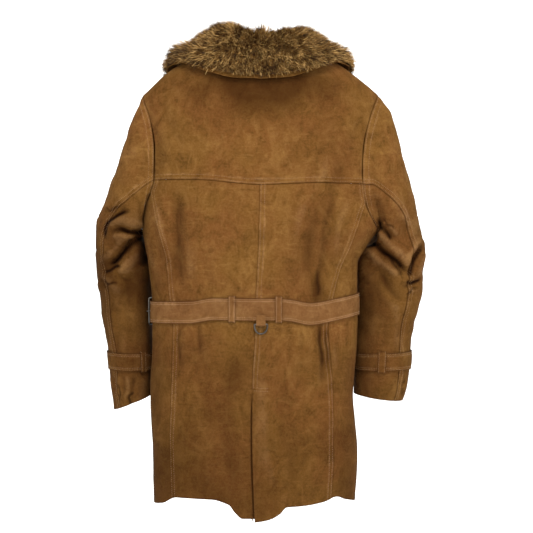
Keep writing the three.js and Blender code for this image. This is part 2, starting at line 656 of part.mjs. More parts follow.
// A point of the collar's upper face. `along` runs from -1 at the left end to 1 at the right
// end, and `around` from 0 at the neck seam over the roll to 1 at the outer edge.
function collarPoint(along, around) {
  const side = along < 0 ? LEFT : RIGHT;
  const get = (key) => read(COLLAR, 'along', key, Math.abs(along));
  const neck = overShoulder(side * get('neckX'), get('neckSwing'),
    COLLAR_LIFT.neck + COLLAR_LIFT.lapel * get('lapel'));
  const edge = overShoulder(side * COLLAR_REACH[side] * get('edgeX'), get('edgeSwing'),
    COLLAR_LIFT.edge);
  const radial = new THREE.Vector3(neck.point.x, neck.point.y, 0).normalize();
  const inward = neck.point.clone().sub(edge.point).normalize();
  const up = new THREE.Vector3(0, 0, 1).addScaledVector(radial, -0.12).lerp(inward, get('lapel'))
    .normalize();
  const outward = radial.lerp(neck.normal, get('lapel')).normalize();
  const stand = get('stand') * mix(1, COLLAR_STAND[side], ease(0, 0.3, Math.abs(along)));
  const crest = neck.point.clone().addScaledVector(up, stand).addScaledVector(outward, 3);
  const half = 0.36; // share of the way round where the crest lies
  const fall = edge.point.clone().sub(crest);
  const [start, end, from, to, t] = around < half
    ? [neck.point, crest, up.clone().multiplyScalar(stand),
      outward.clone().multiplyScalar(get('roll') * 0.6), around / half]
    : [crest, edge.point, outward.clone().multiplyScalar(get('roll') * 1.6),
      fall.clone().projectOnPlane(edge.normal).addScaledVector(edge.normal, -4),
      (around - half) / (1 - half)];
  const [t2, t3] = [t * t, t * t * t];
  return start.clone().multiplyScalar(2 * t3 - 3 * t2 + 1).addScaledVector(from, t3 - 2 * t2 + t)
    .addScaledVector(end, 3 * t2 - 2 * t3).addScaledVector(to, t3 - t2);
}

function collar(along, around, out) {
  const [a, b] = [clamp(along, -0.999, 0.999), clamp(around, 0.002, 0.998)];
  const sideways = collarPoint(a + 0.001, b).sub(collarPoint(a - 0.001, b));
  const over = collarPoint(a, b + 0.002).sub(collarPoint(a, b - 0.002));
  const normal = over.cross(sideways).normalize();
  return collarPoint(along, around).addScaledVector(normal, out);
}

function collarLayer(alongs, arounds, low, high) {
  const layer = (depth) => arounds.map((around) => alongs.map((along) => (
    collar(along, around, depth(along, around)))));
  return wall(layer(high), layer(low));
}

const FUR_ROWS = [0.03, 0.16, 0.27, 0.36, 0.46, 0.66, 0.94];
const HALF_STATIONS = [0, 0.1, 0.2, 0.3, 0.38, 0.44, 0.5, 0.55, 0.61, 0.7, 0.8, 0.9, 1];
const COLLAR_STATIONS = [...HALF_STATIONS.slice(1).reverse().map((along) => -along), ...HALF_STATIONS];

function collarUnder() {
  const around = [0, ...FUR_ROWS, 1];
  return collarLayer(COLLAR_STATIONS, around, () => -COLLAR_WALL, () => 0);
}

function collarFur() {
  const depth = (along, around) => {
    const lapel = read(COLLAR, 'along', 'lapel', Math.abs(along));
    const full = read(FUR, 'around', 'depth', around) * (1 - 0.45 * ease(0.75, 1, Math.abs(along)));
    return mix(full, 1, lapel * (1 - ease(0.16, 0.36, around)));
  };
  return collarLayer(COLLAR_STATIONS, FUR_ROWS, () => SEAM_GAP, depth);
}

// ---------------------------------------------------------------- belt and hardware

const BELT = { half: 22, thick: 2.4, start: -103.4, turned: 410 };
const BELT_LINE = table(['degrees', 'z'], [
  [-180, -530], [-90, -539], [-48, -538], [-33, -537], [-18, -530], [0, -531], [10, -531],
  [16, -532.5], [28, -540], [46, -532.5], [72, -524], [90, -522], [180, -530],
]);
// How far the belt's inner face stands off the coat, by degrees turned from the buckle's bar.
const BELT_LIFT = table(['turned', 'out'], [
  [0, 2], [336, 2], [344, 2.2], [351, 4.4], [358, 6.2], [368, 5.2], [410, 5.2],
]);
const BUCKLE = { bar: -101.5, rim: -88, half: 27, wire: 1.6, barOut: 3.9, rimOut: 6.6, pinOut: 10.9 };
const LOOP = { half: 6.8, xs: { left: -58, right: 32 } };

const degrees = THREE.MathUtils.degToRad;
const beltHeight = (angle) => read(BELT_LINE, 'degrees', 'z', angle);

function belt() {
  const turns = steps(56).map((share) => share * BELT.turned);
  const edge = (across, extra) => turns.map((turned) => {
    const angle = ((BELT.start - turned + 540) % 360 + 360) % 360 - 180;
    const z = beltHeight(angle) + across * BELT.half;
    return coat(degrees(angle), z, read(BELT_LIFT, 'turned', 'out', turned) + extra);
  });
  const layer = (extra) => [-1, 1].map((across) => edge(across, extra));
  return wall(layer(BELT.thick), layer(0));
}

// A loop over a strap: profiles of its outer and inner faces, up the strap and off the cloth.
function loopProfiles(strapHalf, strapTop) {
  const [clear, thick, foot] = [0.5, 1.5, 0.9];
  const inner = [
    [-strapHalf - 3.6, foot], [-strapHalf - 1.3, foot], [-strapHalf - 0.8, strapTop + clear],
    [strapHalf + 0.8, strapTop + clear], [strapHalf + 1.3, foot], [strapHalf + 3.6, foot],
  ];
  const outer = [
    [-strapHalf - 3.6, foot + thick], [-strapHalf - 2.9, foot + thick],
    [-strapHalf - 2.2, strapTop + clear + thick], [strapHalf + 2.2, strapTop + clear + thick],
    [strapHalf + 2.9, foot + thick], [strapHalf + 3.6, foot + thick],
  ];
  return { inner, outer };
}

function beltLoop(x) {
  const { inner, outer } = loopProfiles(BELT.half, 2 + BELT.thick);
  const middle = beltHeight(THREE.MathUtils.radToDeg(angleAt(x, -531, BACK)));
  const face = (profile) => profile.map(([up, out]) => [-1, 0, 1].map((across) => {
    const z = middle + up;
    return coat(angleAt(x + across * LOOP.half, z, BACK), z, out);
  }));
  return wall(face(outer), face(inner));
}

// The buckle's rectangular frame, with its corners cut.
function buckleFrame() {
  const cut = 4;
  const middle = beltHeight(BUCKLE.bar);
  const spot = (angle, up, out) => coat(degrees(angle), middle + up, out);
  const corners = [
    spot(BUCKLE.bar, -BUCKLE.half, BUCKLE.barOut), spot(BUCKLE.rim, -BUCKLE.half, BUCKLE.rimOut),
    spot(BUCKLE.rim, BUCKLE.half, BUCKLE.rimOut), spot(BUCKLE.bar, BUCKLE.half, BUCKLE.barOut),
  ];
  const path = corners.flatMap((corner, k) => [(k + 3) % 4, (k + 1) % 4].map((other) => {
    const along = corners[other].clone().sub(corner).normalize();
    return corner.clone().addScaledVector(along, cut);
  }));
  const across = corners[1].clone().sub(corners[0]).cross(corners[3].clone().sub(corners[0])).normalize();
  return rod(path, BUCKLE.wire, 8, across, true);
}

function bucklePin() {
  const middle = beltHeight(BUCKLE.bar);
  const path = [BUCKLE.bar - 0.5, BUCKLE.rim + 1].map((angle) => (
    coat(degrees(angle), middle, BUCKLE.pinOut)));
  return rod(path, 1.3, 8, new THREE.Vector3(0, 0, 1), false);
}

// The D-ring hangs from a tab sewn on the belt's lower front at centre back.
const D_RING = { x: -2, barZ: -559, width: 28.5, drop: 20, wire: 1.75 };
const TAB = { half: 9, top: -541, wall: 1.6, hole: 2.15 };

function ringAxisY() {
  const beltFace = coat(angleAt(D_RING.x, -550, BACK), -550, 2 + BELT.thick).y;
  return beltFace - SEAM_GAP - TAB.hole - TAB.wall;
}

// A straight bar on top with a round bow under it.
function dRing() {
  const half = D_RING.width / 2 - D_RING.wire;
  const y = ringAxisY();
  const bar = [-half, -half / 2, 0, half / 2, half].map((x) => new THREE.Vector3(x, 0, 0));
  const bow = steps(12).slice(1, -1).map((share) => new THREE.Vector3(
    half * Math.cos(Math.PI * share), 0, -(D_RING.drop - D_RING.wire) * Math.sin(Math.PI * share) ** 0.8));
  const path = [...bar, ...bow].map((p) => p.add(new THREE.Vector3(D_RING.x, y, D_RING.barZ)));
  return rod(path, D_RING.wire, 8, new THREE.Vector3(0, 1, 0), true);
}

// The tab: a strap folded round the ring's bar, both ends sewn flat above it.
function ringTab() {
  const reach = TAB.hole + TAB.wall;
  const height = TAB.top - D_RING.barZ;
  const outline = new THREE.Shape();
  outline.moveTo(reach, 0);
  outline.absarc(0, 0, reach, 0, -Math.PI, true);
  outline.lineTo(-reach, 3);
  outline.lineTo(reach - 2 * TAB.wall, height * 0.55);
  outline.lineTo(reach - 2 * TAB.wall, height);
  outline.lineTo(reach, height);
  outline.closePath();
  const hole = new THREE.Path();
  hole.absarc(0, 0, TAB.hole, 0, 2 * Math.PI, false);
  outline.holes.push(hole);
  const geometry = new THREE.ExtrudeGeometry(outline, {
    depth: TAB.half * 2, bevelEnabled: false, curveSegments: 10,
  });
  return geometry;
}

// ---------------------------------------------------------------- cuffs and buttons

const CUFF_STRAP = { mid: 642, half: 18, thick: 2, out: 1.3, start: -60, turned: 395 };
const CUFF_LOOP_ANGLE = { [LEFT]: 129, [RIGHT]: 97 };
const CUFF_LIFT = table(['turned', 'out'], [[0, 1.3], [338, 1.3], [358, 3.9], [395, 3.9]]);

function cuffStrap(side) {
  const turns = steps(34).map((share) => share * CUFF_STRAP.turned);
  const layer = (extra) => [-1, 1].map((across) => turns.map((turned) => sleeve(
    side, CUFF_STRAP.mid - across * CUFF_STRAP.half, degrees(CUFF_STRAP.start + turned),
    read(CUFF_LIFT, 'turned', 'out', turned) + extra,
  ).point));
  return wall(layer(CUFF_STRAP.thick), layer(0));
}

function cuffLoop(side) {
  const { inner, outer } = loopProfiles(CUFF_STRAP.half, CUFF_STRAP.out + CUFF_STRAP.thick);
  const spread = 7.5; // degrees either side
  const face = (profile) => profile.map(([up, out]) => [-1, 0, 1].map((across) => sleeve(
    side, CUFF_STRAP.mid - up, degrees(CUFF_LOOP_ANGLE[side] + across * spread), out).point));
  return wall(face(outer), face(inner));
}

// A dished button, its underside at height 0 and its axis along Y.
function buttonDisc(radius, thick) {
  const profile = [
    [0, 0], [radius * 0.86, 0], [radius, thick * 0.45], [radius * 0.93, thick],
    [radius * 0.72, thick * 0.72], [0, thick * 0.6],
  ].map(([r, h]) => new THREE.Vector2(r, h));
  return new THREE.LatheGeometry(profile, 18);
}

const FRONT_BUTTON = { radius: 14, thick: 4.5, out: 0.3, heights: [-292, -410, -628, -746] };
const CUFF_BUTTON = { radius: 9, thick: 3.2, out: 0.4, turned: 380 };

// ---------------------------------------------------------------- the coat

const COLOURS = {
  suede: { color: 0x7d5530, roughness: 0.95 },
  belt: { color: 0x966c42, roughness: 0.9 },
  fur: { color: 0x8a6437, roughness: 1 },
  button: { color: 0x3d2415, roughness: 0.45 },
  steel: { color: 0x9a9a98, roughness: 0.3, metalness: 1 },
  darkSteel: { color: 0x55524e, roughness: 0.35, metalness: 1 },
};

const model = new THREE.Group();

function add(name, geometry, finish) {
  const mesh = new THREE.Mesh(geometry, new THREE.MeshStandardMaterial(COLOURS[finish]));
  mesh.name = name;
  model.add(mesh);
  return mesh;
}

function addButton(name, size, seat) {
  const mesh = add(name, buttonDisc(size.radius, size.thick), 'button');
  mesh.quaternion.setFromUnitVectors(new THREE.Vector3(0, 1, 0), seat.normal);
  mesh.position.copy(seat.point);
}

const SIDES = [[LEFT, 'left'], [RIGHT, 'right']];

add('yoke_back', yoke(), 'suede');
add('vent_underlap', ventUnderlap(), 'suede');
SIDES.forEach(([side, name]) => {
  add(`back_${name}`, backPanel(side), 'suede');
  add(`side_${name}`, sidePanel(side), 'suede');
  add(`front_${name}`, frontPanel(side), 'suede');
  const { top, under } = sleevePieces(side);
  add(`sleeve_top_${name}`, top, 'suede');
  add(`sleeve_under_${name}`, under, 'suede');
  add(`cuff_strap_${name}`, cuffStrap(side), 'belt');
  add(`cuff_loop_${name}`, cuffLoop(side), 'belt');
  const buttonAngle = degrees(CUFF_STRAP.start + CUFF_BUTTON.turned);
  const seatOut = CUFF_LIFT.out.at(-1) + CUFF_STRAP.thick + CUFF_BUTTON.out;
  addButton(`cuff_button_${name}`, CUFF_BUTTON, sleeve(side, CUFF_STRAP.mid, buttonAngle, seatOut));
});
add('collar_under', collarUnder(), 'suede');
add('collar_fur', collarFur(), 'fur');
add('belt', belt(), 'belt');
add('belt_loop_left', beltLoop(LOOP.xs.left), 'belt');
add('belt_loop_right', beltLoop(LOOP.xs.right), 'belt');
add('belt_buckle_frame', buckleFrame(), 'steel');
add('belt_buckle_pin', bucklePin(), 'steel');
const tab = add('d_ring_tab', ringTab(), 'belt');
tab.rotation.set(Math.PI / 2, 0, Math.PI / 2, 'ZYX');
tab.position.set(D_RING.x - TAB.half, ringAxisY(), D_RING.barZ);
add('d_ring', dRing(), 'darkSteel');
FRONT_BUTTON.heights.forEach((z, k) => {
  const phi = angleAt(0, z, FRONT);
  const seat = { point: coat(phi, z, FRONT_BUTTON.out), normal: bodyNormal(phi, z, riseAt(phi, z)) };
  addButton(`front_button_${k + 1}`, FRONT_BUTTON, seat);
});

export default model;
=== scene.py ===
"""Looks of a belted suede coat with a fur collar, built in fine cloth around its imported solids."""

import math

import bpy
import numpy as np
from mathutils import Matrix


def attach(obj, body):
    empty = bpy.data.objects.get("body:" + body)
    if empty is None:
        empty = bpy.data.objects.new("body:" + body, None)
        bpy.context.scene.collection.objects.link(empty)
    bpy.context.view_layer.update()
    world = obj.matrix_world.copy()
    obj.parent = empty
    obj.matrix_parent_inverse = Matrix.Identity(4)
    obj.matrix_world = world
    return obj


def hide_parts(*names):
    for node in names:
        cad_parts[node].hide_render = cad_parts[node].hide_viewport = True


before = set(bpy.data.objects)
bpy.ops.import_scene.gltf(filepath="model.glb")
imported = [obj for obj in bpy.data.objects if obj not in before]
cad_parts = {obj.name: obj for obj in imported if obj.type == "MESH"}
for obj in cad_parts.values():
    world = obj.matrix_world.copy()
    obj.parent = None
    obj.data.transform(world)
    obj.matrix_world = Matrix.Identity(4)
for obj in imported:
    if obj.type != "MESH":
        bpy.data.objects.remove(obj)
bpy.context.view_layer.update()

# ------------------------------------------------------------------ helpers
# Shapes are worked out in millimetres, +Z up, the back facing -Y and +X the wearer's right.

MM = 0.001
LEFT, RIGHT = -1, 1
BACK, FRONT = -1, 1
SIDES = {"left": LEFT, "right": RIGHT}


def table(names, rows):
    return dict(zip(names.split(), np.array(rows, float).T))


def mix(a, b, t):
    return a + (b - a) * t


def ease(low, high, value):
    t = np.clip((value - low) / (high - low), 0, 1)
    return t * t * (3 - 2 * t)


def unit(vectors):
    return vectors / np.maximum(np.linalg.norm(vectors, axis=-1, keepdims=True), 1e-9)


def bump(distance, width):
    return np.exp(-((distance / width) ** 2))


def smooth_curve(x, y, at):
    """y at `at`, on a smooth curve through the points that never overshoots them."""
    slope = np.diff(y) / np.diff(x)
    a, b = slope[:-1], slope[1:]
    total = np.where(a + b == 0, 1, a + b)
    tangent = np.concatenate([slope[:1], np.where(a * b <= 0, 0, 2 * a * b / total), slope[-1:]])
    at = np.clip(at, x[0], x[-1])
    k = np.clip(np.searchsorted(x, at, side="left") - 1, 0, len(x) - 2)
    span = x[k + 1] - x[k]
    t = (at - x[k]) / span
    start = (2 * t**3 - 3 * t**2 + 1) * y[k] + (t**3 - 2 * t**2 + t) * span * tangent[k]
    return start + (3 * t**2 - 2 * t**3) * y[k + 1] + (t**3 - t**2) * span * tangent[k + 1]


def read(columns, name, at):
    """Column `name` where the table's first column is `at`."""
    first = next(iter(columns.values()))
    return smooth_curve(first, columns[name], at)


def noise(points, size, seed):
    """Smooth noise from -1 to 1 over points, with features of about `size` millimetres."""
    q = points / np.array(size, float)
    cell = np.floor(q).astype(np.int64)
    f = q - cell
    f = f * f * (3 - 2 * f)
    value = np.zeros(points.shape[:-1])
    for corner in np.ndindex(2, 2, 2):
        key = cell + np.array(corner)
        h = key[..., 0] * 73856093 ^ key[..., 1] * 19349663 ^ key[..., 2] * 83492791 ^ seed * 2654435
        h = (h ^ (h >> 13)) * 1274126177 & 0x7FFFFFFF
        h = (h ^ (h >> 15)) & 0xFFFF
        weight = np.prod([f[..., k] if corner[k] else 1 - f[..., k] for k in range(3)], axis=0)
        value += weight * (h / 32767.5 - 1)
    return value


def graded(count, low=0.0, high=0.0, middle=0.0, at=0.5):
    """Steps from 0 to 1 that are closer together near the ends and the middle given a weight."""
    t = np.linspace(0, 1, 2001)
    density = 1 + low * np.exp(-t / 0.06) + high * np.exp(-(1 - t) / 0.06) + middle * bump(t - at, 0.16)
    total = np.concatenate([[0], np.cumsum((density[1:] + density[:-1]) / 2)])
    return np.interp(np.linspace(0, 1, count), total / total[-1], t)


# ------------------------------------------------------------------ the body's form

WALL = 2.0
SEAM_GAP = 0.3
ARMHOLE_GAP = 0.7
ARMPIT = -374
SHOULDER_Y = -5  # where the fronts and the yoke meet on the shoulder
SQUARE = 2.3  # how square the body is in section, where 2 is an ellipse
OVER = 2.6  # the same over the shoulders

# The body's section below the armpits: its middle, half width, and reach to the back and front.
BODY = table("z centre half back front", [
    [-940, -16, 204, 128, 131],
    [-823, -14.5, 209.5, 125, 128],
    [-710, -21, 207, 120, 123],
    [-600, -15, 209, 111, 114],
    [-530, -15, 209, 106, 110],
    [-440, -19, 213, 112, 118],
    [-410, -14, 224, 115, 122],
    [ARMPIT, -3.5, 241.5, 118, 126],
])
# The top of the shoulders, and the hem's height round the body from 0 at centre back.
RIDGE = table("x z", [
    [-245, -102], [-225, -83], [-206, -65], [-193, -54], [-168, -37], [-125, -17], [-80, 0],
    [0, 12], [80, 0], [125, -20], [168, -45], [184, -57], [209, -76], [229, -93], [245, -108],
])
HEM = table("degrees z", [
    [-180, -914], [-90, -925], [-60, -914], [-44, -897], [-20, -895], [-10.7, -904],
    [-7.7, -919], [-4.2, -930], [-0.4, -930], [0.1, -936], [5, -933], [11, -922], [15, -909],
    [24, -908], [38, -904], [48, -897], [60, -907], [90, -921], [180, -914],
])
# Where the armholes and the seams of the side panels run.
ARMHOLE = {
    (LEFT, BACK): table("z x", [
        [ARMPIT, -245], [-350, -241], [-321, -231], [-297, -220], [-277, -214], [-216, -213],
        [-156, -223], [-103, -243],
    ]),
    (LEFT, FRONT): table("z x", [
        [ARMPIT, -245], [-350, -236], [-318, -218], [-280, -206], [-220, -203], [-160, -216],
        [-103, -243],
    ]),
    (RIGHT, BACK): table("z x", [
        [ARMPIT, 238], [-360, 224], [-329, 207], [-293, 199], [-253, 197], [-204, 201],
        [-156, 213], [-99, 235],
    ]),
    (RIGHT, FRONT): table("z x", [
        [ARMPIT, 238], [-352, 218], [-318, 198], [-265, 190], [-215, 193], [-160, 207],
        [-99, 235],
    ]),
}
SIDE_SEAM = {
    (LEFT, BACK): table("z x", [
        [-898, -177], [-792, -181], [-692, -177], [-564, -175], [-505, -183], [-431, -190],
        [-372, -204], [-300, -221],
    ]),
    (LEFT, FRONT): table("z x", [
        [-914, -150], [-700, -152], [-530, -150], [-440, -165], [-372, -188], [-318, -218],
    ]),
    (RIGHT, BACK): table("z x", [
        [-902, 135], [-825, 139], [-725, 139], [-625, 133], [-564, 129], [-497, 143],
        [-458, 153], [-391, 180], [-322, 204],
    ]),
    (RIGHT, FRONT): table("z x", [
        [-914, 116], [-700, 118], [-530, 116], [-440, 132], [-372, 162], [-318, 198],
    ]),
}
SEAM_TOP = {(LEFT, BACK): -300, (LEFT, FRONT): -318, (RIGHT, BACK): -322, (RIGHT, FRONT): -318}
CENTRE_BACK = table("z x", [
    [-934, -14], [-784, -18.5], [-673, -18.5], [-588, -13.5], [-504, -11.5], [-393, -6],
    [-289, -4], [0, 0],
])
VENT_TOP = -682
YOKE_SEAM = table("x z", [[-213, -276], [-119, -279], [-4, -289], [132, -284], [197, -284]])
NECK_HALF, NECK_DROP = 80, 25
BREAK = -272  # the height where the lapels start to turn out
OVERLAP = 30  # how far each front reaches past the middle

# The height of the belt's middle round the body.
BELT_LINE = table("degrees z", [
    [-180, -530], [-90, -539], [-48, -538], [-33, -537], [-18, -530], [0, -531], [10, -531],
    [16, -532.5], [28, -540], [46, -532.5], [72, -524], [90, -522], [180, -530],
])

FOLD = "width depth ridge skew"
LINE = "width deep"


def runs(names, rows):
    """Creases from rows of sizes, each row ending with the x, z points that it runs through."""
    names = names.split()
    return [dict(zip(names, row), run=row[len(names):]) for row in rows]


# Folds are troughs. `skew` above 0 makes the right-hand side of a run the steeper one, and `ridge`
# raises the cloth beside the trough.
BODY_CREASES = {
    BACK: runs(FOLD, [
        [20, 7, 1.6, -0.6, (-166, -292), (-165, -360), (-163, -430), (-160, -510)],
        [22, 6, 1.5, 0.2, (170, -190), (143, -284), (104, -357), (90, -420), (86, -500)],
        [13, 5, 1.5, 0.3, (147, -305), (126, -361), (121, -420), (112, -500)],
        [9, 5, 1.6, 0.2, (109, -548), (113, -590), (119, -640), (118, -690)],
        [9, 4, 1.2, 0.0, (124, -556), (127, -600), (129, -660)],
        [36, 3.4, 1.0, 0.2, (-34, -600), (-62, -690), (-66, -790), (-40, -910)],
        [26, 4, 1.0, 0.0, (30, -640), (46, -760), (58, -900)],
        [10, 3.4, 0.8, 0.0, (-162, -562), (-164, -600), (-160, -660)],
        [9, 3.0, 0.8, 0.0, (-128, -560), (-122, -590), (-120, -630)],
        [16, 2.6, 0.6, 0.0, (-206, -130), (-180, -180), (-152, -226)],
        [14, 2.2, 0.6, 0.0, (-236, -150), (-206, -200), (-196, -262)],
        [12, 2.0, 0.5, 0.0, (200, -150), (180, -200), (172, -262)],
        [12, 3.2, 0.8, 0.0, (-196, -452), (-208, -400), (-216, -350)],
        [14, 2.2, 0.6, 0.0, (-108, -400), (-112, -450), (-104, -505)],
        [12, 1.8, 0.5, 0.0, (58, -420), (52, -470), (56, -506)],
    ]),
    FRONT: runs(FOLD, [
        [24, 6, 1.2, 0.3, (-150, -330), (-120, -410), (-112, -490)],
        [24, 6, 1.2, -0.3, (128, -320), (104, -400), (92, -490)],
        [28, 5, 1.0, 0.0, (-88, -600), (-96, -740), (-104, -880)],
        [28, 5, 1.0, 0.0, (84, -610), (90, -750), (100, -880)],
        [10, 3, 0.8, 0.0, (-60, -556), (-66, -610), (-58, -660)],
        [10, 3, 0.8, 0.0, (52, -552), (58, -600), (54, -648)],
    ]),
}


def run_distance(run, x, z):
    """Signed distance to a smooth run of points, and the share of the way along it."""
    corners = np.array(run, float)
    index = np.arange(len(corners), dtype=float)
    fine = np.linspace(0, len(corners) - 1, 4 * len(corners))
    line = np.stack([smooth_curve(index, corners[:, k], fine) for k in (0, 1)], -1)
    nearest = np.full(x.shape, 1e9)
    signed, share = nearest.copy(), np.zeros(x.shape)
    for k in range(len(line) - 1):
        step = line[k + 1] - line[k]
        length = np.hypot(*step)
        dx, dz = step / length
        t = np.clip(((x - line[k, 0]) * dx + (z - line[k, 1]) * dz) / length, 0, 1)
        gx, gz = x - line[k, 0] - t * step[0], z - line[k, 1] - t * step[1]
        distance = np.hypot(gx, gz)
        closer = distance < nearest
        nearest = np.where(closer, distance, nearest)
        signed = np.where(closer, distance * np.where(gx * dz - gz * dx > 0, 1, -1), signed)
        share = np.where(closer, (k + t) / (len(line) - 1), share)
    return signed, share


def fine_creases(lines, x, z):
    """How deep in a sharp narrow crease each spot is, from 0 to 1."""
    deep = np.zeros(x.shape)
    for line in lines:
        signed, share = run_distance(line["run"], x, z)
        taper = ease(0, 0.2, share) * ease(0, 0.2, 1 - share)
        wavy = signed + 1.2 * np.sin(share * 11)
        deep = np.maximum(deep, taper * line["deep"] * bump(wavy, line["width"]))
    return deep


def creases(folds, x, z, crisp=0.0):
    """Height of the cloth over its folds. `crisp` is how far their bottoms are pinched to a line."""
    height = np.zeros(x.shape)
    for fold in folds:
        signed, share = run_distance(fold["run"], x, z)
        width = fold["width"] * (1 - 0.6 * fold["skew"] * np.sign(signed))
        taper = ease(0, 0.22, share) * ease(0, 0.22, 1 - share)
        sharp = np.exp(-np.abs(signed) / (0.30 * width))
        height -= taper * fold["depth"] * mix(np.exp(-2 * (signed / width) ** 2), sharp, crisp)
        height += taper * fold["ridge"] * bump(np.abs(signed) - 1.5 * width, 0.7 * width)
    return height


def ridge_height(x):
    return read(RIDGE, "z", x)


def rounded(value):
    return np.sign(value) * np.abs(value) ** (2 / SQUARE)


def body_point(phi, z, rise):
    """A point of the plain body. `phi` is 0 at centre back; `rise` is below 0 under the armpit."""
    level = np.minimum(z, ARMPIT)
    back = np.cos(phi) > 0
    x = read(BODY, "centre", level) + read(BODY, "half", level) * rounded(np.sin(phi))
    reach = np.where(back, read(BODY, "back", level), read(BODY, "front", level))
    ring_y = -reach * rounded(np.cos(phi))
    risen = np.clip(rise, 0, 1)
    seam_y = SHOULDER_Y + np.where(back, -1, 1) * SEAM_GAP / 2
    y = mix(seam_y, ring_y, np.maximum(1 - risen**OVER, 0) ** (1 / OVER))
    height = mix(ARMPIT, ridge_height(x), risen)
    return np.stack([x, np.where(rise < 0, ring_y, y), np.where(rise < 0, level, height)], -1)


def rise_at(phi, z):
    x = body_point(phi, np.minimum(z, ARMPIT), np.full(np.shape(phi), -1.0))[..., 0]
    rise = np.clip((z - ARMPIT) / (ridge_height(x) - ARMPIT), 0, 1)
    return np.where(z <= ARMPIT, -1.0, rise)


def spot(phi, z):
    """A spot of the body from its angle and height, with its rise over the shoulder."""
    return phi, z, rise_at(phi, z)


def body_normal(phi, z, rise):
    below = rise < 0
    ahead = np.where(below, -1, np.clip(rise, 0.004, 0.9999))
    low = body_point(phi, z - 2 * below, np.where(below, -1, ahead - 0.00008))
    high = body_point(phi, z, ahead)
    around = body_point(phi + 0.01, z, ahead) - body_point(phi - 0.01, z, ahead)
    normal = unit(np.cross(around, high - low))
    x = body_point(phi, np.full(np.shape(phi), float(ARMPIT)), rise)[..., 0]
    slope = (ridge_height(x + 1) - ridge_height(x - 1)) / 2
    over = unit(np.stack([-slope, np.zeros_like(slope), np.ones_like(slope)], -1))
    turned = np.where(below, 0, ease(0.9, 1, rise))[..., None]
    return unit(mix(normal, over, turned))


def angle_at(x, z, face):
    """The angle where the body's face has this x at this height."""
    level = np.minimum(z, ARMPIT)
    share = (x - read(BODY, "centre", level)) / read(BODY, "half", level)
    angle = np.sign(share) * np.arcsin(np.minimum(np.abs(share), 1) ** (SQUARE / 2))
    if face == BACK:
        return angle
    return np.where(angle >= 0, math.pi - angle, -math.pi - angle)


def belt_height(phi):
    return read(BELT_LINE, "z", np.degrees(phi))


# Slack in the cloth: how high it stands, how wide and tall its waves are, and its noise's seed.
BODY_SLACK = [(1.5, 64, 90, 3), (0.8, 24, 34, 5)]
SLEEVE_SLACK = [(2.0, 52, 44, 11), (1.2, 21, 17, 12)]
LINE_DEPTH = {"body": 1.6, "sleeve": 4.2}
BELT_HOLD = 34  # how far above and below its middle the belt keeps the cloth flat


def slack(points, layers):
    """Height of the cloth's slack over the points."""
    return sum(high * noise(points, (wide, wide, tall), seed) for high, wide, tall, seed in layers)


def body_folds(phi, point):
    """Height of the cloth's folds and soft unevenness over the plain body."""
    x, z = point[..., 0], point[..., 2]
    facing = ease(0, 0.35, np.abs(np.cos(phi)))
    back = np.cos(phi) > 0
    folds = {face: creases(BODY_CREASES[face], x, z) for face in (BACK, FRONT)}
    height = facing * np.where(back, folds[BACK], folds[FRONT])
    free = 1 - 0.85 * bump(z - belt_height(phi), BELT_HOLD)
    sharp = LINE_DEPTH["body"] * facing * back * fine_creases(BODY_LINES, x, z)
    return height - sharp + free * (slack(point, BODY_SLACK) + 0.25 * noise(point, 9, 8))


def coat(phi, z, rise=None, out=0.0):
    """Points `out` millimetres off the folded cloth, their normals and the height of the folds."""
    phi, z = np.broadcast_arrays(np.asarray(phi, float), np.asarray(z, float))
    rise = rise_at(phi, z) if rise is None else rise
    point = body_point(phi, z, rise)
    normal = body_normal(phi, z, rise)
    height = body_folds(phi, point)
    return point + normal * (out + height)[..., None], normal, height


def seam_x(side, face, z):
    return read(SIDE_SEAM[side, face], "x", z)


def arm_x(side, face, z):
    return read(ARMHOLE[side, face], "x", z)


def outer_edge(side, face, z, row):
    return np.where(row <= 1, seam_x(side, face, z) - side * SEAM_GAP / 2, arm_x(side, face, z))


def hem_height(phi):
    return read(HEM, "z", np.degrees(phi))


def neck_height(x):
    share = np.minimum(np.abs(x) / NECK_HALF, 1)
    return -NECK_DROP * (1 - share**2.4) ** 0.6


def climb(x_at, face, low, row):
    """A spot part way up a column of the upper body, from height `low` to the shoulder or neck."""
    z = low + 0 * row
    x = x_at(z)
    rise = z
    for _ in range(6):
        span = ridge_height(x) - ARMPIT
        swing = lambda height: np.arcsin(np.clip((height - ARMPIT) / span, 0, 1) ** (OVER / 2))
        open_neck = (np.abs(x) < NECK_HALF - 0.2) & (face == BACK)
        top = np.where(open_neck, swing(neck_height(x)), math.pi / 2)
        rise = np.sin(mix(swing(low), top, row)) ** (2 / OVER)
        z = ARMPIT + span * rise
        x = x_at(z)
    return angle_at(x, z, face), z, rise


# ------------------------------------------------------------------ panels as grids of spots

def back_spots(side, row, col):
    def edge(z):
        inner = read(CENTRE_BACK, "x", z) + side * SEAM_GAP / 2
        return mix(inner, outer_edge(side, BACK, z, row), col)

    hem = hem_height(angle_at(edge(-912 + 0 * row), -912, BACK))
    top = read(YOKE_SEAM, "z", edge(-281 + 0 * row)) - SEAM_GAP / 2
    blade = mix(-311, SEAM_TOP[side, BACK], col)
    z = np.where(row <= 1, mix(hem, blade, row), mix(blade, top, row - 1))
    return spot(angle_at(edge(z), z, BACK), z)


def yoke_spots(row, col):
    arm = lambda z: np.where(col < 0, arm_x(LEFT, BACK, z), arm_x(RIGHT, BACK, z))
    edge = lambda z: mix(read(CENTRE_BACK, "x", z), arm(z), np.abs(col))
    low = read(YOKE_SEAM, "z", edge(-281 + 0 * row)) + SEAM_GAP / 2
    return climb(edge, BACK, low, row)


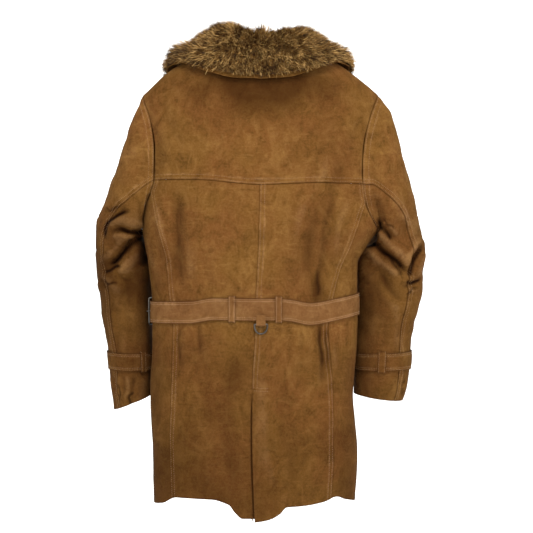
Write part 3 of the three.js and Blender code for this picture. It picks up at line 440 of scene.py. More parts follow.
def front_spots(side, row, col):
    def inner(z):
        share = np.clip((z - BREAK) / -BREAK, 0, 1)
        return side * mix(-OVERLAP, NECK_HALF, share**0.85)

    edge = lambda z: mix(inner(z), outer_edge(side, FRONT, z, row), col)
    hem = hem_height(angle_at(edge(-914 + 0 * row), -914, FRONT))
    top = SEAM_TOP[side, FRONT]
    z = mix(hem, top, np.minimum(row, 1))
    lower = spot(angle_at(edge(z), z, FRONT), z)
    upper = climb(edge, FRONT, top, np.maximum(row - 1, 0))
    return tuple(np.where(row <= 1, a, b) for a, b in zip(lower, upper))


def side_angle(side, z, col):
    def seam(face):
        x = seam_x(side, face, np.minimum(z, SEAM_TOP[side, face]))
        return angle_at(x + side * SEAM_GAP / 2, z, face)

    return mix(seam(BACK), seam(FRONT), col)


def side_top(side, col):
    """Where a side panel's column meets the armhole, found by halving."""
    low = np.full(np.shape(col), float(ARMPIT))
    high = np.full(np.shape(col), float(max(SEAM_TOP[side, BACK], SEAM_TOP[side, FRONT])))
    for _ in range(30):
        z = (low + high) / 2
        phi = side_angle(side, z, col)
        arm = np.where(np.cos(phi) > 0, arm_x(side, BACK, z), arm_x(side, FRONT, z))
        x = body_point(phi, np.full(z.shape, float(ARMPIT)), np.full(z.shape, -1.0))[..., 0]
        inside = np.abs(x) < np.abs(arm)
        low, high = np.where(inside, z, low), np.where(inside, high, z)
    low = np.where(col <= 0, SEAM_TOP[side, BACK], low)
    return np.where(col >= 1, SEAM_TOP[side, FRONT], low)


def side_spots(side, row, col):
    hem = hem_height(side_angle(side, -912 + 0 * row, col))
    z = mix(hem, side_top(side, col), row)
    return spot(side_angle(side, z, col), z)


# ------------------------------------------------------------------ the sleeves' and collar's form

# Sections of a sleeve by the height of their middle: x of the outer and inner sides, how far the
# outer side is above the middle, y of the middle, reach to the back and front, how far the back and
# front bow out, and the angles of the hind and fore seams.
SLEEVE_COLUMNS = "mid outer inner rise y back front bow hind fore"
SLEEVE = {
    LEFT: table(SLEEVE_COLUMNS, [
        [238, -243, -245, 136, -2, 66, 70, 31, 107, -126],
        [256, -258, -246, 129, 0, 70, 73, 24, 103, -126],
        [286, -275, -245, 106, 2, 75, 77, 13, 97, -124],
        [323, -297, -243, 77, 4, 79, 80, 5, 86, -122],
        [361, -323, -240, 50, 12, 79, 80, 0, 70, -120],
        [402, -344, -234, 30, 26, 76, 77, 0, 60, -120],
        [432, -347, -231, 22, 32, 74, 75, 0, 58, -120],
        [470, -345, -232, 15, 38, 72, 73, 0, 62, -120],
        [510, -340, -233, 10, 42, 70, 71, 0, 64, -120],
        [561, -334, -233, 5, 44, 68, 68, 0, 64, -120],
        [609, -324, -229, 2, 46, 65, 65, 0, 62, -120],
        [657, -319, -228, 1, 46, 62, 62, 0, 60, -120],
        [701, -317, -227, 0, 46, 60, 60, 0, 58, -120],
        [728, -310, -226, -17, 46, 59, 59, 0, 57, -120],
    ]),
    RIGHT: table(SLEEVE_COLUMNS, [
        [236.5, 235, 238, 137.5, -2, 66, 70, 38, 107, -126],
        [256, 257, 238, 130, 0, 70, 73, 26, 103, -126],
        [286, 275, 236, 106, 2, 75, 77, 14, 97, -124],
        [322, 295, 230, 77, 8, 79, 80, 6, 86, -122],
        [361, 313, 214, 50, 22, 80, 81, 0, 70, -120],
        [398, 327, 200, 30, 34, 77, 78, 0, 60, -120],
        [432, 339, 194, 22, 37, 75, 76, 0, 58, -120],
        [470, 336, 195, 14, 38, 73, 74, 0, 62, -120],
        [510, 334, 195, 10, 42, 70, 71, 0, 64, -120],
        [556, 322, 195, 6, 44, 68, 68, 0, 64, -120],
        [605, 312, 192, 3, 46, 65, 65, 0, 62, -120],
        [655, 309, 191, 1, 46, 62, 62, 0, 60, -120],
        [700, 302, 190, 0, 46, 60, 60, 0, 58, -120],
        [719, 293, 190, -7, 46, 59, 59, 0, 57, -120],
    ]),
}
SLEEVE_LENGTH = 486  # rows of a sleeve run from 0 at the armhole to this at the cuff
CAP_ROWS = 22  # over these rows the armhole's outline turns into the sleeve's own section

SLEEVE_CREASES = {
    (LEFT, BACK): runs(FOLD, [
        [9, 8, 5.0, 0.3, (-306, -378), (-282, -374), (-258, -379), (-228, -383)],
        [13, 11, 4.5, 0.2, (-230, -378), (-260, -401), (-289, -431), (-320, -458)],
        [9, 5, 2.5, 0.0, (-336, -470), (-326, -480), (-316, -496)],
        [14, 4, 2.0, 0.0, (-300, -448), (-282, -470), (-262, -482)],
        [12, 3, 1.6, 0.0, (-318, -352), (-296, -340), (-268, -330)],
        [18, 4, 1.2, 0.0, (-262, -470), (-268, -540), (-262, -610)],
        [10, 3, 1.6, 0.0, (-300, -640), (-292, -580), (-300, -520)],
        [8, 3.4, 1.6, 0.0, (-290, -672), (-282, -690), (-284, -712)],
        [7, 3.0, 1.4, 0.0, (-304, -672), (-300, -690), (-306, -706)],
        [10, 5.0, 2.0, 0.0, (-256, -668), (-262, -700), (-266, -740)],
        [14, 2.6, 1.2, 0.0, (-300, -250), (-284, -280), (-256, -300)],
    ]),
    (LEFT, FRONT): runs(FOLD, [
        [18, 8, 3.5, 0.0, (-242, -398), (-290, -420), (-334, -432)],
        [14, 6, 3.0, 0.0, (-240, -450), (-280, -462), (-326, -468)],
        [14, 5, 2.5, 0.0, (-246, -352), (-276, -372), (-306, -384)],
        [16, 4, 1.5, 0.0, (-262, -500), (-270, -560), (-262, -620)],
        [9, 3, 1.5, 0.0, (-290, -674), (-284, -700), (-288, -726)],
    ]),
    (RIGHT, BACK): runs(FOLD, [
        [12, 11, 5.0, 0.2, (214, -388), (234, -412), (262, -436), (298, -464)],
        [11, 9, 4.5, 0.0, (336, -398), (318, -420), (304, -448), (298, -470)],
        [8, 5, 2.5, 0.0, (322, -474), (310, -482), (296, -486), (284, -494)],
        [8, 5, 3.0, 0.0, (236, -366), (250, -380), (264, -396)],
        [9, 5, 2.5, 0.0, (212, -372), (226, -384), (238, -386)],
        [13, 5, 2.0, 0.2, (228, -440), (246, -480), (266, -506), (296, -528)],
        [12, 3.4, 1.6, 0.0, (262, -350), (280, -372), (292, -398)],
        [14, 2.6, 1.2, 0.0, (268, -282), (286, -320), (302, -352)],
        [16, 3.0, 1.2, 0.0, (236, -530), (248, -580), (246, -620)],
        [10, 3.0, 1.5, 0.0, (292, -540), (286, -580), (290, -618)],
        [9, 3.0, 1.5, 0.0, (286, -674), (280, -696), (284, -716)],
    ]),
    (RIGHT, FRONT): runs(FOLD, [
        [18, 8, 3.5, 0.0, (212, -400), (262, -424), (322, -430)],
        [14, 6, 3.0, 0.0, (206, -450), (262, -466), (312, -476)],
        [14, 5, 2.5, 0.0, (226, -352), (256, -372), (296, -384)],
        [16, 4, 1.5, 0.0, (226, -500), (238, -560), (230, -620)],
        [9, 3, 1.5, 0.0, (262, -674), (256, -700), (260, -716)],
    ]),
}

# Lines are sharp narrow creases.
SLEEVE_LINES = {
    LEFT: runs(LINE, [
        [3.8, 1.0, (-314, -396), (-313, -366), (-289, -350), (-258, -333)],
        [3.4, 1.0, (-290, -373), (-264, -379), (-244, -378), (-230, -382)],
        [3.8, 1.0, (-232, -377), (-260, -401), (-289, -431), (-308, -446)],
        [8.0, 0.7, (-236, -388), (-241, -420), (-243, -452)],
        [2.6, 0.7, (-262, -398), (-284, -424), (-304, -438)],
        [3.2, 0.9, (-320, -462), (-304, -453), (-282, -444)],
        [2.4, 0.6, (-322, -476), (-308, -482), (-288, -480)],
        [2.6, 0.6, (-316, -330), (-300, -336), (-280, -326)],
        [2.6, 0.6, (-262, -700), (-270, -716), (-268, -742)],
        [2.2, 0.5, (-297, -688), (-290, -700), (-292, -722)],
    ]),
    RIGHT: runs(LINE, [
        [3.8, 1.0, (214, -386), (236, -410), (264, -432), (296, -462)],
        [3.0, 0.9, (330, -402), (316, -424), (302, -448), (298, -474)],
        [3.0, 0.9, (326, -470), (308, -480), (288, -478)],
        [3.0, 0.9, (225, -350), (238, -368), (250, -384), (260, -396)],
        [6.0, 0.8, (208, -384), (220, -396), (226, -412)],
        [2.4, 0.6, (318, -488), (304, -494), (292, -506)],
        [2.6, 0.6, (250, -420), (270, -448), (284, -470)],
        [2.2, 0.5, (236, -352), (250, -364), (268, -374)],
        [2.4, 0.5, (292, -676), (288, -696), (290, -716)],
    ]),
}
BODY_LINES = runs(LINE, [
    [3.4, 0.9, (111, -560), (114, -600), (119, -650)],
    [3.0, 0.8, (123, -562), (126, -600), (129, -640)],
    [3.6, 0.9, (106, -450), (109, -480), (110, -507)],
    [2.8, 0.5, (-161, -562), (-164, -600), (-161, -640)],
    [2.6, 0.4, (-127, -558), (-122, -590), (-121, -620)],
    [3.0, 0.5, (-165, -320), (-165, -370), (-163, -430)],
])

# Where the front of each sleeve's inner side leans in against the body, and where the elbows
# wrinkle.
SLEEVE_LEAN = {
    LEFT: dict(mid=470, reach=130, out=12, degrees=222),
    RIGHT: dict(mid=372, reach=32, out=19, degrees=222),
}
ELBOW = dict(mid=425, reach=62, deep=1.8)
PINCHED = 0.5  # how far the sleeves' folds are pinched to a line


def sleeve_point(side, mid, angle):
    """A point round a sleeve: angle 0 is its outer side, 90 degrees its back, 180 its inner side."""
    get = lambda name: read(SLEEVE[side], name, mid)
    across, behind = np.cos(angle), np.sin(angle)
    depth = np.where(behind > 0, get("back"), get("front"))
    middle, half = (get("outer") + get("inner")) / 2, (get("outer") - get("inner")) / 2
    return np.stack([
        middle + half * across - side * get("bow") * np.abs(behind) ** 3,
        get("y") - depth * behind,
        get("rise") * across - mid,
    ], -1)


def sleeve(side, mid, angle, out=0.0):
    """Points `out` millimetres off a sleeve's folded cloth, their normals and the folds' height."""
    mid, angle = np.broadcast_arrays(np.asarray(mid, float), np.asarray(angle, float))
    first, last = SLEEVE[side]["mid"][0], SLEEVE[side]["mid"][-1]
    point = sleeve_point(side, mid, angle)
    around = sleeve_point(side, mid, angle + 0.02) - sleeve_point(side, mid, angle - 0.02)
    low, high = np.maximum(mid - 3, first), np.minimum(mid + 3, last)
    along = sleeve_point(side, high, angle) - sleeve_point(side, low, angle)
    normal = unit(np.cross(around, along) * side)
    facing = ease(0, 0.4, np.abs(np.sin(angle)))
    x, z = point[..., 0], point[..., 2]
    folds = {face: creases(SLEEVE_CREASES[side, face], x, z, PINCHED) for face in (BACK, FRONT)}
    strap = 1 - 0.9 * bump(mid - CUFF_STRAP["mid"], 30)
    loose = slack(point, SLEEVE_SLACK)
    slanted = point + np.stack([0 * x, 0 * x, -0.6 * side * x], -1)
    wrinkle = 1 - np.abs(noise(slanted, (46, 46, 15), 14)) / 0.30
    bent = bump(mid - ELBOW["mid"], ELBOW["reach"])
    loose = loose - ELBOW["deep"] * np.clip(wrinkle, 0, 1) ** 1.5 * bent
    loose = loose - LINE_DEPTH["sleeve"] * facing * fine_creases(SLEEVE_LINES[side], x, z)
    height = facing * np.where(np.sin(angle) > 0, folds[BACK], folds[FRONT])
    height = height + strap * (loose + 0.3 * noise(point, 8, 13))
    lean = SLEEVE_LEAN[side]
    inner_front = bump(angle - math.radians(lean["degrees"]), 0.55)
    height = height + lean["out"] * bump(mid - lean["mid"], lean["reach"]) * inner_front
    return point + normal * (out + height)[..., None], normal, height


ARMHOLE_STEPS = dict(front_steps=50, yoke_steps=20, back_steps=10, under_steps=74)


def armhole_loop(side, front_steps, yoke_steps, back_steps, under_steps):
    """Corners of the armhole in order, and the place of the hind sleeve seam among them."""
    at = lambda face: lambda z: arm_x(side, face, z)
    yoke_low = float(read(YOKE_SEAM, "z", arm_x(side, BACK, -281.0)))
    back_top, front_top = SEAM_TOP[side, BACK], SEAM_TOP[side, FRONT]
    front = climb(at(FRONT), FRONT, front_top, graded(front_steps + 1, 2))
    yoke = climb(at(BACK), BACK, yoke_low, graded(yoke_steps + 1, 6)[:-1][::-1])
    z = mix(back_top, yoke_low, np.linspace(1, 0, back_steps + 1)[1:])
    back = spot(angle_at(arm_x(side, BACK, z), z, BACK), z)
    col = np.linspace(0, 1, under_steps + 1)[1:-1]
    z = side_top(side, col)
    under = spot(side_angle(side, z, col), z)
    first = tuple(part[:1] for part in front)
    spots = tuple(np.concatenate(parts) for parts in zip(front, yoke, back, under, first))
    return spots, len(front[0]) + len(yoke[0]) - 1


def sleeve_grid(side, rows):
    """A sleeve's outer face, normals and folds, row by column, with the hind seam's column."""
    (phi, z, rise), hind = armhole_loop(side, **ARMHOLE_STEPS)
    corner = body_point(phi, z, rise)
    normal = body_normal(phi, z, rise)
    ahead, behind = np.roll(corner[:-1], -1, 0), np.roll(corner[:-1], 1, 0)
    away = np.cross(normal[:-1], ahead - behind) * side
    away = unit(np.concatenate([away, away[:1]]))
    first, last = SLEEVE[side]["mid"][0], SLEEVE[side]["mid"][-1]
    turned = np.arccos(np.clip((corner[:, 2] + first) / SLEEVE[side]["rise"][0], -1, 1))
    index = np.arange(len(turned))
    around = np.where(np.cos(phi) > 0, turned, np.where(index > hind, 2 * math.pi - turned, -turned))
    top = (around - around[0]) / (around[hind] - around[0])
    under = (around - around[hind]) / (around[0] + 2 * math.pi - around[hind])
    under[-1] = 1
    mid = mix(first, last, rows / SLEEVE_LENGTH)[:, None]
    hind_angle = np.radians(read(SLEEVE[side], "hind", mid))
    fore_angle = np.radians(read(SLEEVE[side], "fore", mid))
    angle = np.where(index <= hind, mix(fore_angle, hind_angle, top),
                     mix(hind_angle, fore_angle + 2 * math.pi, under))
    point, out, height = sleeve(side, mid, angle)
    start, start_out = point[:1], out[:1]
    wrapped = np.abs(np.arctan2(np.sin(angle[0]), np.cos(angle[0])))
    turn = ease(0.6, 1.5, wrapped)[:, None]
    seam = corner + away * ARMHOLE_GAP + normal * 2 * ARMHOLE_GAP * turn
    seam_out = unit(mix(normal, start_out[0], turn))
    fade = (1 - ease(0, CAP_ROWS, rows))[:, None, None]
    point = point + (seam - start) * fade
    return point, unit(mix(out, seam_out[None], fade)), height, hind


# The collar from centre back to the lapel's point: where its neck and its edge lie over the coat, as
# an x and a swing over the shoulder in degrees, and how it stands up, rolls over and turns lapel.
COLLAR = table("along neck_x neck_swing edge_x edge_swing stand roll lapel", [
    [0, 0, 60, 0, 43.2, 19, 27, 0],
    [0.125, 28, 61, 50, 45, 28, 27, 0],
    [0.25, 52, 64, 98, 51, 36, 27, 0],
    [0.375, 71, 70, 146, 66, 30, 26, 0],
    [0.5, 83, 90, 187, 88, 21, 22, 0.1],
    [0.625, 72, 121, 190, 118, 21, 22, 0.5],
    [0.75, 56, 137, 168, 140, 18, 20, 0.8],
    [0.875, 36, 150, 132, 152, 12, 18, 1],
    [1, 17, 160, 84, 158, 9, 16, 1],
])
COLLAR_REACH = {LEFT: 1.01, RIGHT: 0.92}
COLLAR_STAND = {LEFT: 1.04, RIGHT: 0.76}
COLLAR_WALL = 1.6
COLLAR_OFF = dict(neck=4.8, lapel=2, edge=9)  # how far the collar stands off the coat
CREST = 0.36  # the share of the way round where the collar's crest is
FUR = table("around depth", [[0, 4], [0.12, 8], [0.3, 11], [0.5, 13], [0.8, 13], [0.94, 6]])


def over_shoulder(x, swing, out):
    """A point over the coat from an x and a swing over the shoulder in degrees."""
    rise = np.sin(np.radians(swing)) ** (2 / OVER)
    phi = np.where(swing <= 90, angle_at(x, ARMPIT + 0 * x, BACK), angle_at(x, ARMPIT + 0 * x, FRONT))
    normal = body_normal(phi, 0 * x, rise)
    return body_point(phi, 0 * x, rise) + normal * np.asarray(out)[..., None], normal


def collar_point(along, around):
    """A point of the collar's upper face, from the neck seam at 0 over the roll to the edge at 1."""
    along, around = np.broadcast_arrays(np.asarray(along, float), np.asarray(around, float))
    get = lambda name: read(COLLAR, name, np.abs(along))
    side = np.where(along < 0, LEFT, RIGHT)
    lapel = get("lapel")[..., None]
    neck, neck_normal = over_shoulder(side * get("neck_x"), get("neck_swing"),
                                      COLLAR_OFF["neck"] + COLLAR_OFF["lapel"] * get("lapel"))
    reach = np.where(along < 0, COLLAR_REACH[LEFT], COLLAR_REACH[RIGHT])
    edge, edge_normal = over_shoulder(side * reach * get("edge_x"), get("edge_swing"),
                                      COLLAR_OFF["edge"] + 0 * along)
    radial = unit(neck * [1, 1, 0])
    up = unit(mix(unit(np.array([0, 0, 1.0]) - 0.12 * radial), unit(neck - edge), lapel))
    outward = unit(mix(radial, neck_normal, lapel))
    factor = np.where(along < 0, COLLAR_STAND[LEFT], COLLAR_STAND[RIGHT])
    stand = (get("stand") * mix(1, factor, ease(0, 0.3, np.abs(along))))[..., None]
    crest = neck + up * stand + outward * 3
    fall = edge - crest
    flat = fall - edge_normal * np.sum(fall * edge_normal, -1, keepdims=True)
    roll = get("roll")[..., None]
    rising = (around < CREST)[..., None]
    t = np.where(rising, around[..., None] / CREST, (around[..., None] - CREST) / (1 - CREST))
    start, end = np.where(rising, neck, crest), np.where(rising, crest, edge)
    leave = np.where(rising, up * stand, outward * roll * 1.6)
    arrive = np.where(rising, outward * roll * 0.6, flat - edge_normal * 4)
    return (start * (2 * t**3 - 3 * t**2 + 1) + leave * (t**3 - 2 * t**2 + t)
            + end * (3 * t**2 - 2 * t**3) + arrive * (t**3 - t**2))


def collar(along, around, out=0.0):
    a, b = np.clip(along, -0.999, 0.999), np.clip(around, 0.002, 0.998)
    sideways = collar_point(a + 0.001, b) - collar_point(a - 0.001, b)
    over = collar_point(a, b + 0.002) - collar_point(a, b - 0.002)
    normal = unit(np.cross(over, sideways))
    return collar_point(along, around) + normal * np.asarray(out)[..., None], normal


def fur_depth(along, around):
    lapel = read(COLLAR, "lapel", np.abs(along))
    full = read(FUR, "depth", around) * (1 - 0.45 * ease(0.75, 1, np.abs(along)))
    return mix(full, 1, lapel * (1 - ease(0.16, 0.36, around)))


# ------------------------------------------------------------------ meshes

def make_mesh(name, points, faces, material, attributes=None, sharp=50, body="coat", slot="suede"):
    """A piece from points in millimetres and an array of faces with one number of corners."""
    mesh = bpy.data.meshes.new(name)
    count, corners = faces.shape
    mesh.vertices.add(len(points))
    mesh.vertices.foreach_set("co", (points * MM).astype(np.float32).ravel())
    mesh.loops.add(count * corners)
    mesh.loops.foreach_set("vertex_index", faces.astype(np.int32).ravel())
    mesh.polygons.add(count)
    mesh.polygons.foreach_set("loop_start", np.arange(0, count * corners, corners, dtype=np.int32))
    mesh.update(calc_edges=True)
    for label, values in (attributes or {}).items():
        layer = mesh.attributes.new(label, "FLOAT", "POINT")
        layer.data.foreach_set("value", values.astype(np.float32).ravel())
    mesh.polygons.foreach_set("use_smooth", np.ones(count, dtype=bool))
    if sharp:
        mesh.set_sharp_from_angle(angle=math.radians(sharp))
    mesh.materials.append(material)
    piece = bpy.data.objects.new(name, mesh)
    bpy.context.scene.collection.objects.link(piece)
    if body:
        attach(piece, body)
    return piece


def wall_faces(rows, cols):
    """Quads of a closed wall between an outer and an inner grid."""
    at = np.arange(2 * rows * cols).reshape(2, rows, cols)
    outer, inner = at

    def quads(a, b, c, d):
        return np.stack([a.ravel(), b.ravel(), c.ravel(), d.ravel()], -1)

    return np.concatenate([
        quads(outer[:-1, :-1], outer[:-1, 1:], outer[1:, 1:], outer[1:, :-1]),
        quads(inner[:-1, :-1], inner[1:, :-1], inner[1:, 1:], inner[:-1, 1:]),
        quads(inner[0, :-1], inner[0, 1:], outer[0, 1:], outer[0, :-1]),
        quads(outer[-1, :-1], outer[-1, 1:], inner[-1, 1:], inner[-1, :-1]),
        quads(outer[:-1, 0], outer[1:, 0], inner[1:, 0], inner[:-1, 0]),
        quads(inner[:-1, -1], inner[1:, -1], outer[1:, -1], outer[:-1, -1]),
    ])


def round_faces(rings, sides):
    """Quads between rings of points, each ring closed on itself."""
    at = np.arange(rings * sides).reshape(rings, sides)
    near, far = at[:-1], at[1:]
    corners = (near, np.roll(near, -1, 1), np.roll(far, -1, 1), far)
    return np.stack([corner.ravel() for corner in corners], -1)


def wall_piece(name, outer, inner, material, attributes=None, **options):
    """A closed wall between two grids, turned so that it faces out."""
    faces = wall_faces(*outer.shape[:2])
    points = np.concatenate([outer.reshape(-1, 3), inner.reshape(-1, 3)])
    a, b, c = (points[faces[:, k]] for k in range(3))
    if np.sum(a * np.cross(b, c)) + np.sum(a * np.cross(c, points[faces[:, 3]])) < 0:
        faces = faces[:, ::-1]
    doubled = {key: np.concatenate([v.ravel(), v.ravel()]) for key, v in (attributes or {}).items()}
    return make_mesh(name, points, faces, material, doubled, **options)


# ------------------------------------------------------------------ materials

class Shader:
    """A material's node tree, with short calls to add nodes and link them."""

    def __init__(self, name, **constants):
        self.material = bpy.data.materials.new(name)
        self.material.use_nodes = True
        self.tree = self.material.node_tree
        self.surface = self.tree.nodes["Principled BSDF"]
        for key, value in constants.items():
            self.surface.inputs[key.replace("_", " ")].default_value = value
        self.place = self.add("ShaderNodeTexCoord", {}).outputs["Object"]

    def add(self, kind, inputs, **properties):
        """A node whose inputs are links where they are sockets, and plain values elsewhere."""
        node = self.tree.nodes.new(kind)
        for key, value in properties.items():
            setattr(node, key, value)
        for key, value in inputs.items():
            if isinstance(value, bpy.types.NodeSocket):
                self.tree.links.new(value, node.inputs[key])
            else:
                node.inputs[key].default_value = value
        return node

    def link(self, output, key):
        self.tree.links.new(output, self.surface.inputs[key])

    def noise(self, scale, detail=3.0, stretch=(1, 1, 1), rough=0.55, swirl=0.0):
        place = self.add("ShaderNodeMapping", {"Vector": self.place, "Scale": stretch}).outputs[0]
        settings = {"Vector": place, "Scale": scale, "Detail": detail, "Roughness": rough}
        return self.add("ShaderNodeTexNoise", {**settings, "Distortion": swirl}).outputs["Fac"]

    def attribute(self, name):
        return self.add("ShaderNodeAttribute", {}, attribute_name=name).outputs["Fac"]

    def math(self, operation, a, b=0.0, clamp=False):
        node = self.add("ShaderNodeMath", {0: a, 1: b}, operation=operation, use_clamp=clamp)
        return node.outputs[0]

    def spread(self, value, low, high, to_low=0.0, to_high=1.0):
        settings = {"Value": value, "From Min": low, "From Max": high,
                    "To Min": to_low, "To Max": to_high}
        return self.add("ShaderNodeMapRange", settings, interpolation_type="SMOOTHSTEP").outputs[0]

    def blend(self, factor, a, b):
        a, b = ((*value, 1) if isinstance(value, tuple) else value for value in (a, b))
        return self.add("ShaderNodeMix", {0: factor, 6: a, 7: b}, data_type="RGBA").outputs[2]

    def bumps(self, layers):
        normal = None
        for value, strength, distance in layers:
            settings = {"Height": value, "Strength": strength, "Distance": distance}
            if normal is not None:
                settings["Normal"] = normal
            normal = self.add("ShaderNodeBump", settings).outputs[0]
        self.link(normal, "Normal")


def suede(name, dark, plain, light, warm, worn):
    """Napped leather: blotches, brush marks and grain, paler where worn, with painted shade in folds,
    seams and shadowed places, and painted near-black lines along sharp creases.
    """
    shader = Shader(name, Roughness=0.95, Sheen_Weight=0.02, Sheen_Roughness=0.5,
                    Sheen_Tint=(0.62, 0.42, 0.20, 1), Specular_IOR_Level=0.02)
    broad = shader.noise(8.5, 2.5)
    blotch = shader.noise(30, 5, rough=0.62, swirl=0.8)
    brushed = shader.noise(15, 4, stretch=(2.2, 2.2, 1.3), swirl=1.6)
    scuff = shader.noise(42, 5, stretch=(0.55, 0.55, 2.4), rough=0.68, swirl=0.7)
    nap = shader.noise(230, 3, rough=0.6)
    grain = shader.noise(620, 2)
    colour = shader.blend(shader.spread(broad, 0.36, 0.64), plain, warm)
    layers = [  # pattern, value where it starts, value where it is full, most, tone
        (blotch, 0.52, 0.74, 0.62, light),
        (blotch, 0.48, 0.27, 0.66, dark),
        (brushed, 0.50, 0.70, 0.36, light),
        (brushed, 0.50, 0.32, 0.42, dark),
        (scuff, 0.56, 0.70, 0.42, light),
        (scuff, 0.44, 0.30, 0.42, dark),
        (nap, 0.35, 0.70, 0.30, light),
        (grain, 0.62, 0.30, 0.26, dark),
    ]
    for pattern, start, full, most, tone in layers:
        colour = shader.blend(shader.spread(pattern, start, full, 0, most), colour, tone)
    edge = shader.math("MULTIPLY", shader.attribute("wear"), shader.spread(nap, 0.2, 0.6, 0.45, 1.0))
    colour = shader.blend(edge, colour, worn)
    # painted shade: mixes towards a dark brown where the mesh's shade value asks for it
    shade = shader.attribute("shade")
    shadow = (0.50 * dark[0], 0.36 * dark[1], 0.36 * dark[2])
    colour = shader.blend(shader.math("MULTIPLY", shade, 0.8, clamp=True), colour, shadow)
    # painted shade: near black along the sharp crease lines
    painted_crease_colour = (0.16 * dark[0], 0.12 * dark[1], 0.12 * dark[2])
    colour = shader.blend(shader.attribute("painted_crease_shade"), colour, painted_crease_colour)
    shader.link(colour, "Base Color")
    shader.bumps([(blotch, 0.35, 0.0016), (scuff, 0.45, 0.0014), (nap, 0.40, 0.0007),
                  (grain, 0.35, 0.0003)])
    return shader.material


def fur_strands():
    shader = Shader("fur_strands", Roughness=0.6, Specular_IOR_Level=0.15)
    reach, tone = shader.attribute("reach"), shader.attribute("tone")
    body = shader.blend(shader.spread(reach, 0.0, 0.65), (0.016, 0.007, 0.0025), (0.182, 0.089, 0.0225))
    pale = shader.blend(shader.spread(reach, 0.35, 0.85), body, (0.50, 0.31, 0.108))
    black = shader.blend(shader.spread(reach, 0.40, 0.80), body, (0.022, 0.011, 0.005))
    colour = shader.blend(shader.spread(tone, 0.30, 0.46), black, body)
    colour = shader.blend(shader.spread(tone, 0.52, 0.70), colour, pale)
    shader.link(colour, "Base Color")
    return shader.material


def fur_skin():
    shader = Shader("fur_skin", Roughness=0.9)
    tuft, fine = shader.noise(170, 3), shader.noise(520, 2)
    # the skin under the hairs is dark like the hairs' roots, and darker still as painted shade in the
    # gaps between tufts
    colour = shader.blend(shader.spread(tuft, 0.35, 0.68), (0.018, 0.008, 0.003), (0.075, 0.038, 0.012))
    shader.link(colour, "Base Color")
    shader.bumps([(tuft, 0.8, 0.003), (fine, 0.8, 0.001)])
    return shader.material


def metal(name, colour, tarnish, roughness):
    shader = Shader(name, Metallic=1.0)
    cloud, scratch = shader.noise(90, 4), shader.noise(420, 3, stretch=(1, 1, 5))
    shader.link(shader.blend(shader.spread(cloud, 0.4, 0.7), colour, tarnish), "Base Color")
    shader.link(shader.spread(scratch, 0.3, 0.7, roughness, roughness + 0.22), "Roughness")
    shader.bumps([(scratch, 0.12, 0.0002)])
    return shader.material


def thread(name, colour, shadow):
    shader = Shader(name, Roughness=0.75, Sheen_Weight=0.2)
    twist = shader.noise(900, 2)
    shader.link(shader.blend(shader.spread(twist, 0.35, 0.65), shadow, colour), "Base Color")
    return shader.material


def horn(name):
    shader = Shader(name, Roughness=0.42, Specular_IOR_Level=0.22)
    cloud, streak = shader.noise(60, 4), shader.noise(150, 3, stretch=(1, 1, 4))
    colour = shader.blend(shader.spread(cloud, 0.35, 0.65), (0.020, 0.009, 0.004), (0.085, 0.038, 0.016))
    colour = shader.blend(shader.spread(streak, 0.55, 0.75, 0, 0.6), colour, (0.16, 0.085, 0.04))
    shader.link(colour, "Base Color")
    shader.bumps([(streak, 0.1, 0.0003)])
    return shader.material


def pale_glowing_floor():
    shader = Shader("pale_glowing_floor", Roughness=0.9, Emission_Color=(1, 1, 1, 1))
    shader.link(shader.blend(shader.noise(3, 2), (0.82, 0.82, 0.81), (0.86, 0.86, 0.85)), "Base Color")
    level = {0: shader.place, 1: (1, 1, 0)}
    flat = shader.add("ShaderNodeVectorMath", level, operation="MULTIPLY").outputs[0]
    away = shader.add("ShaderNodeVectorMath", {0: flat}, operation="LENGTH").outputs["Value"]
    # painted light: the floor glows, more the further out, which keeps the far floor and wall white
    shader.link(shader.spread(away, 0.6, 3.4, 0.05, 0.62), "Emission Strength")
    return shader.material


SUEDE = suede("suede", (0.046, 0.019, 0.0040), (0.112, 0.051, 0.0115), (0.190, 0.094, 0.026),
              (0.112, 0.0435, 0.0118), (0.330, 0.182, 0.074))
TRIM = suede("trim_suede", (0.076, 0.032, 0.0092), (0.128, 0.059, 0.0195), (0.188, 0.095, 0.036),
             (0.122, 0.0525, 0.0168), (0.300, 0.170, 0.078))
STRANDS = fur_strands()
SKIN = fur_skin()
STEEL = metal("worn_steel", (0.16, 0.143, 0.122), (0.060, 0.052, 0.044), 0.28)
DARK_STEEL = metal("dark_steel", (0.090, 0.080, 0.070), (0.036, 0.031, 0.027), 0.26)
THREAD = thread("topstitch_thread", (0.245, 0.132, 0.053), (0.120, 0.056, 0.019))
BELT_THREAD = thread("belt_thread", (0.370, 0.225, 0.110), (0.180, 0.094, 0.036))
HORN = horn("dark_horn")


# ------------------------------------------------------------------ seams and stitching

# How the cloth runs up to an edge: rows of stitching at these distances from it, how far the
# doubled band stands up and how wide it is, and how worn its ridges are.
SEAMS = {
    "fell": dict(rows=(2.6, 9.2), lift=0.8, wide=10.8, wear=0.6),
    "sleeve": dict(rows=(2.8, 12.0), lift=1.1, wide=13.6, wear=0.45),
    "edge": dict(rows=(7.0,), lift=0.5, wide=8.5, wear=0.35),
    "hem": dict(rows=(), lift=0.3, wide=6.0, wear=0.25),
    "under": dict(rows=(), lift=-0.25, wide=0.6, wear=0.0),
    "strap": dict(rows=(2.4, 6.0), lift=-0.25, wide=7.0, wear=0.5),
    "narrow": dict(rows=(2.1,), lift=-0.2, wide=3.0, wear=0.5),
}
STITCH = dict(pitch=3.5, length=2.5, radius=0.42)
GROOVE = dict(deep=0.62, wide=0.95)  # where a row of stitches pulls the leather in
stitch_rows = {}


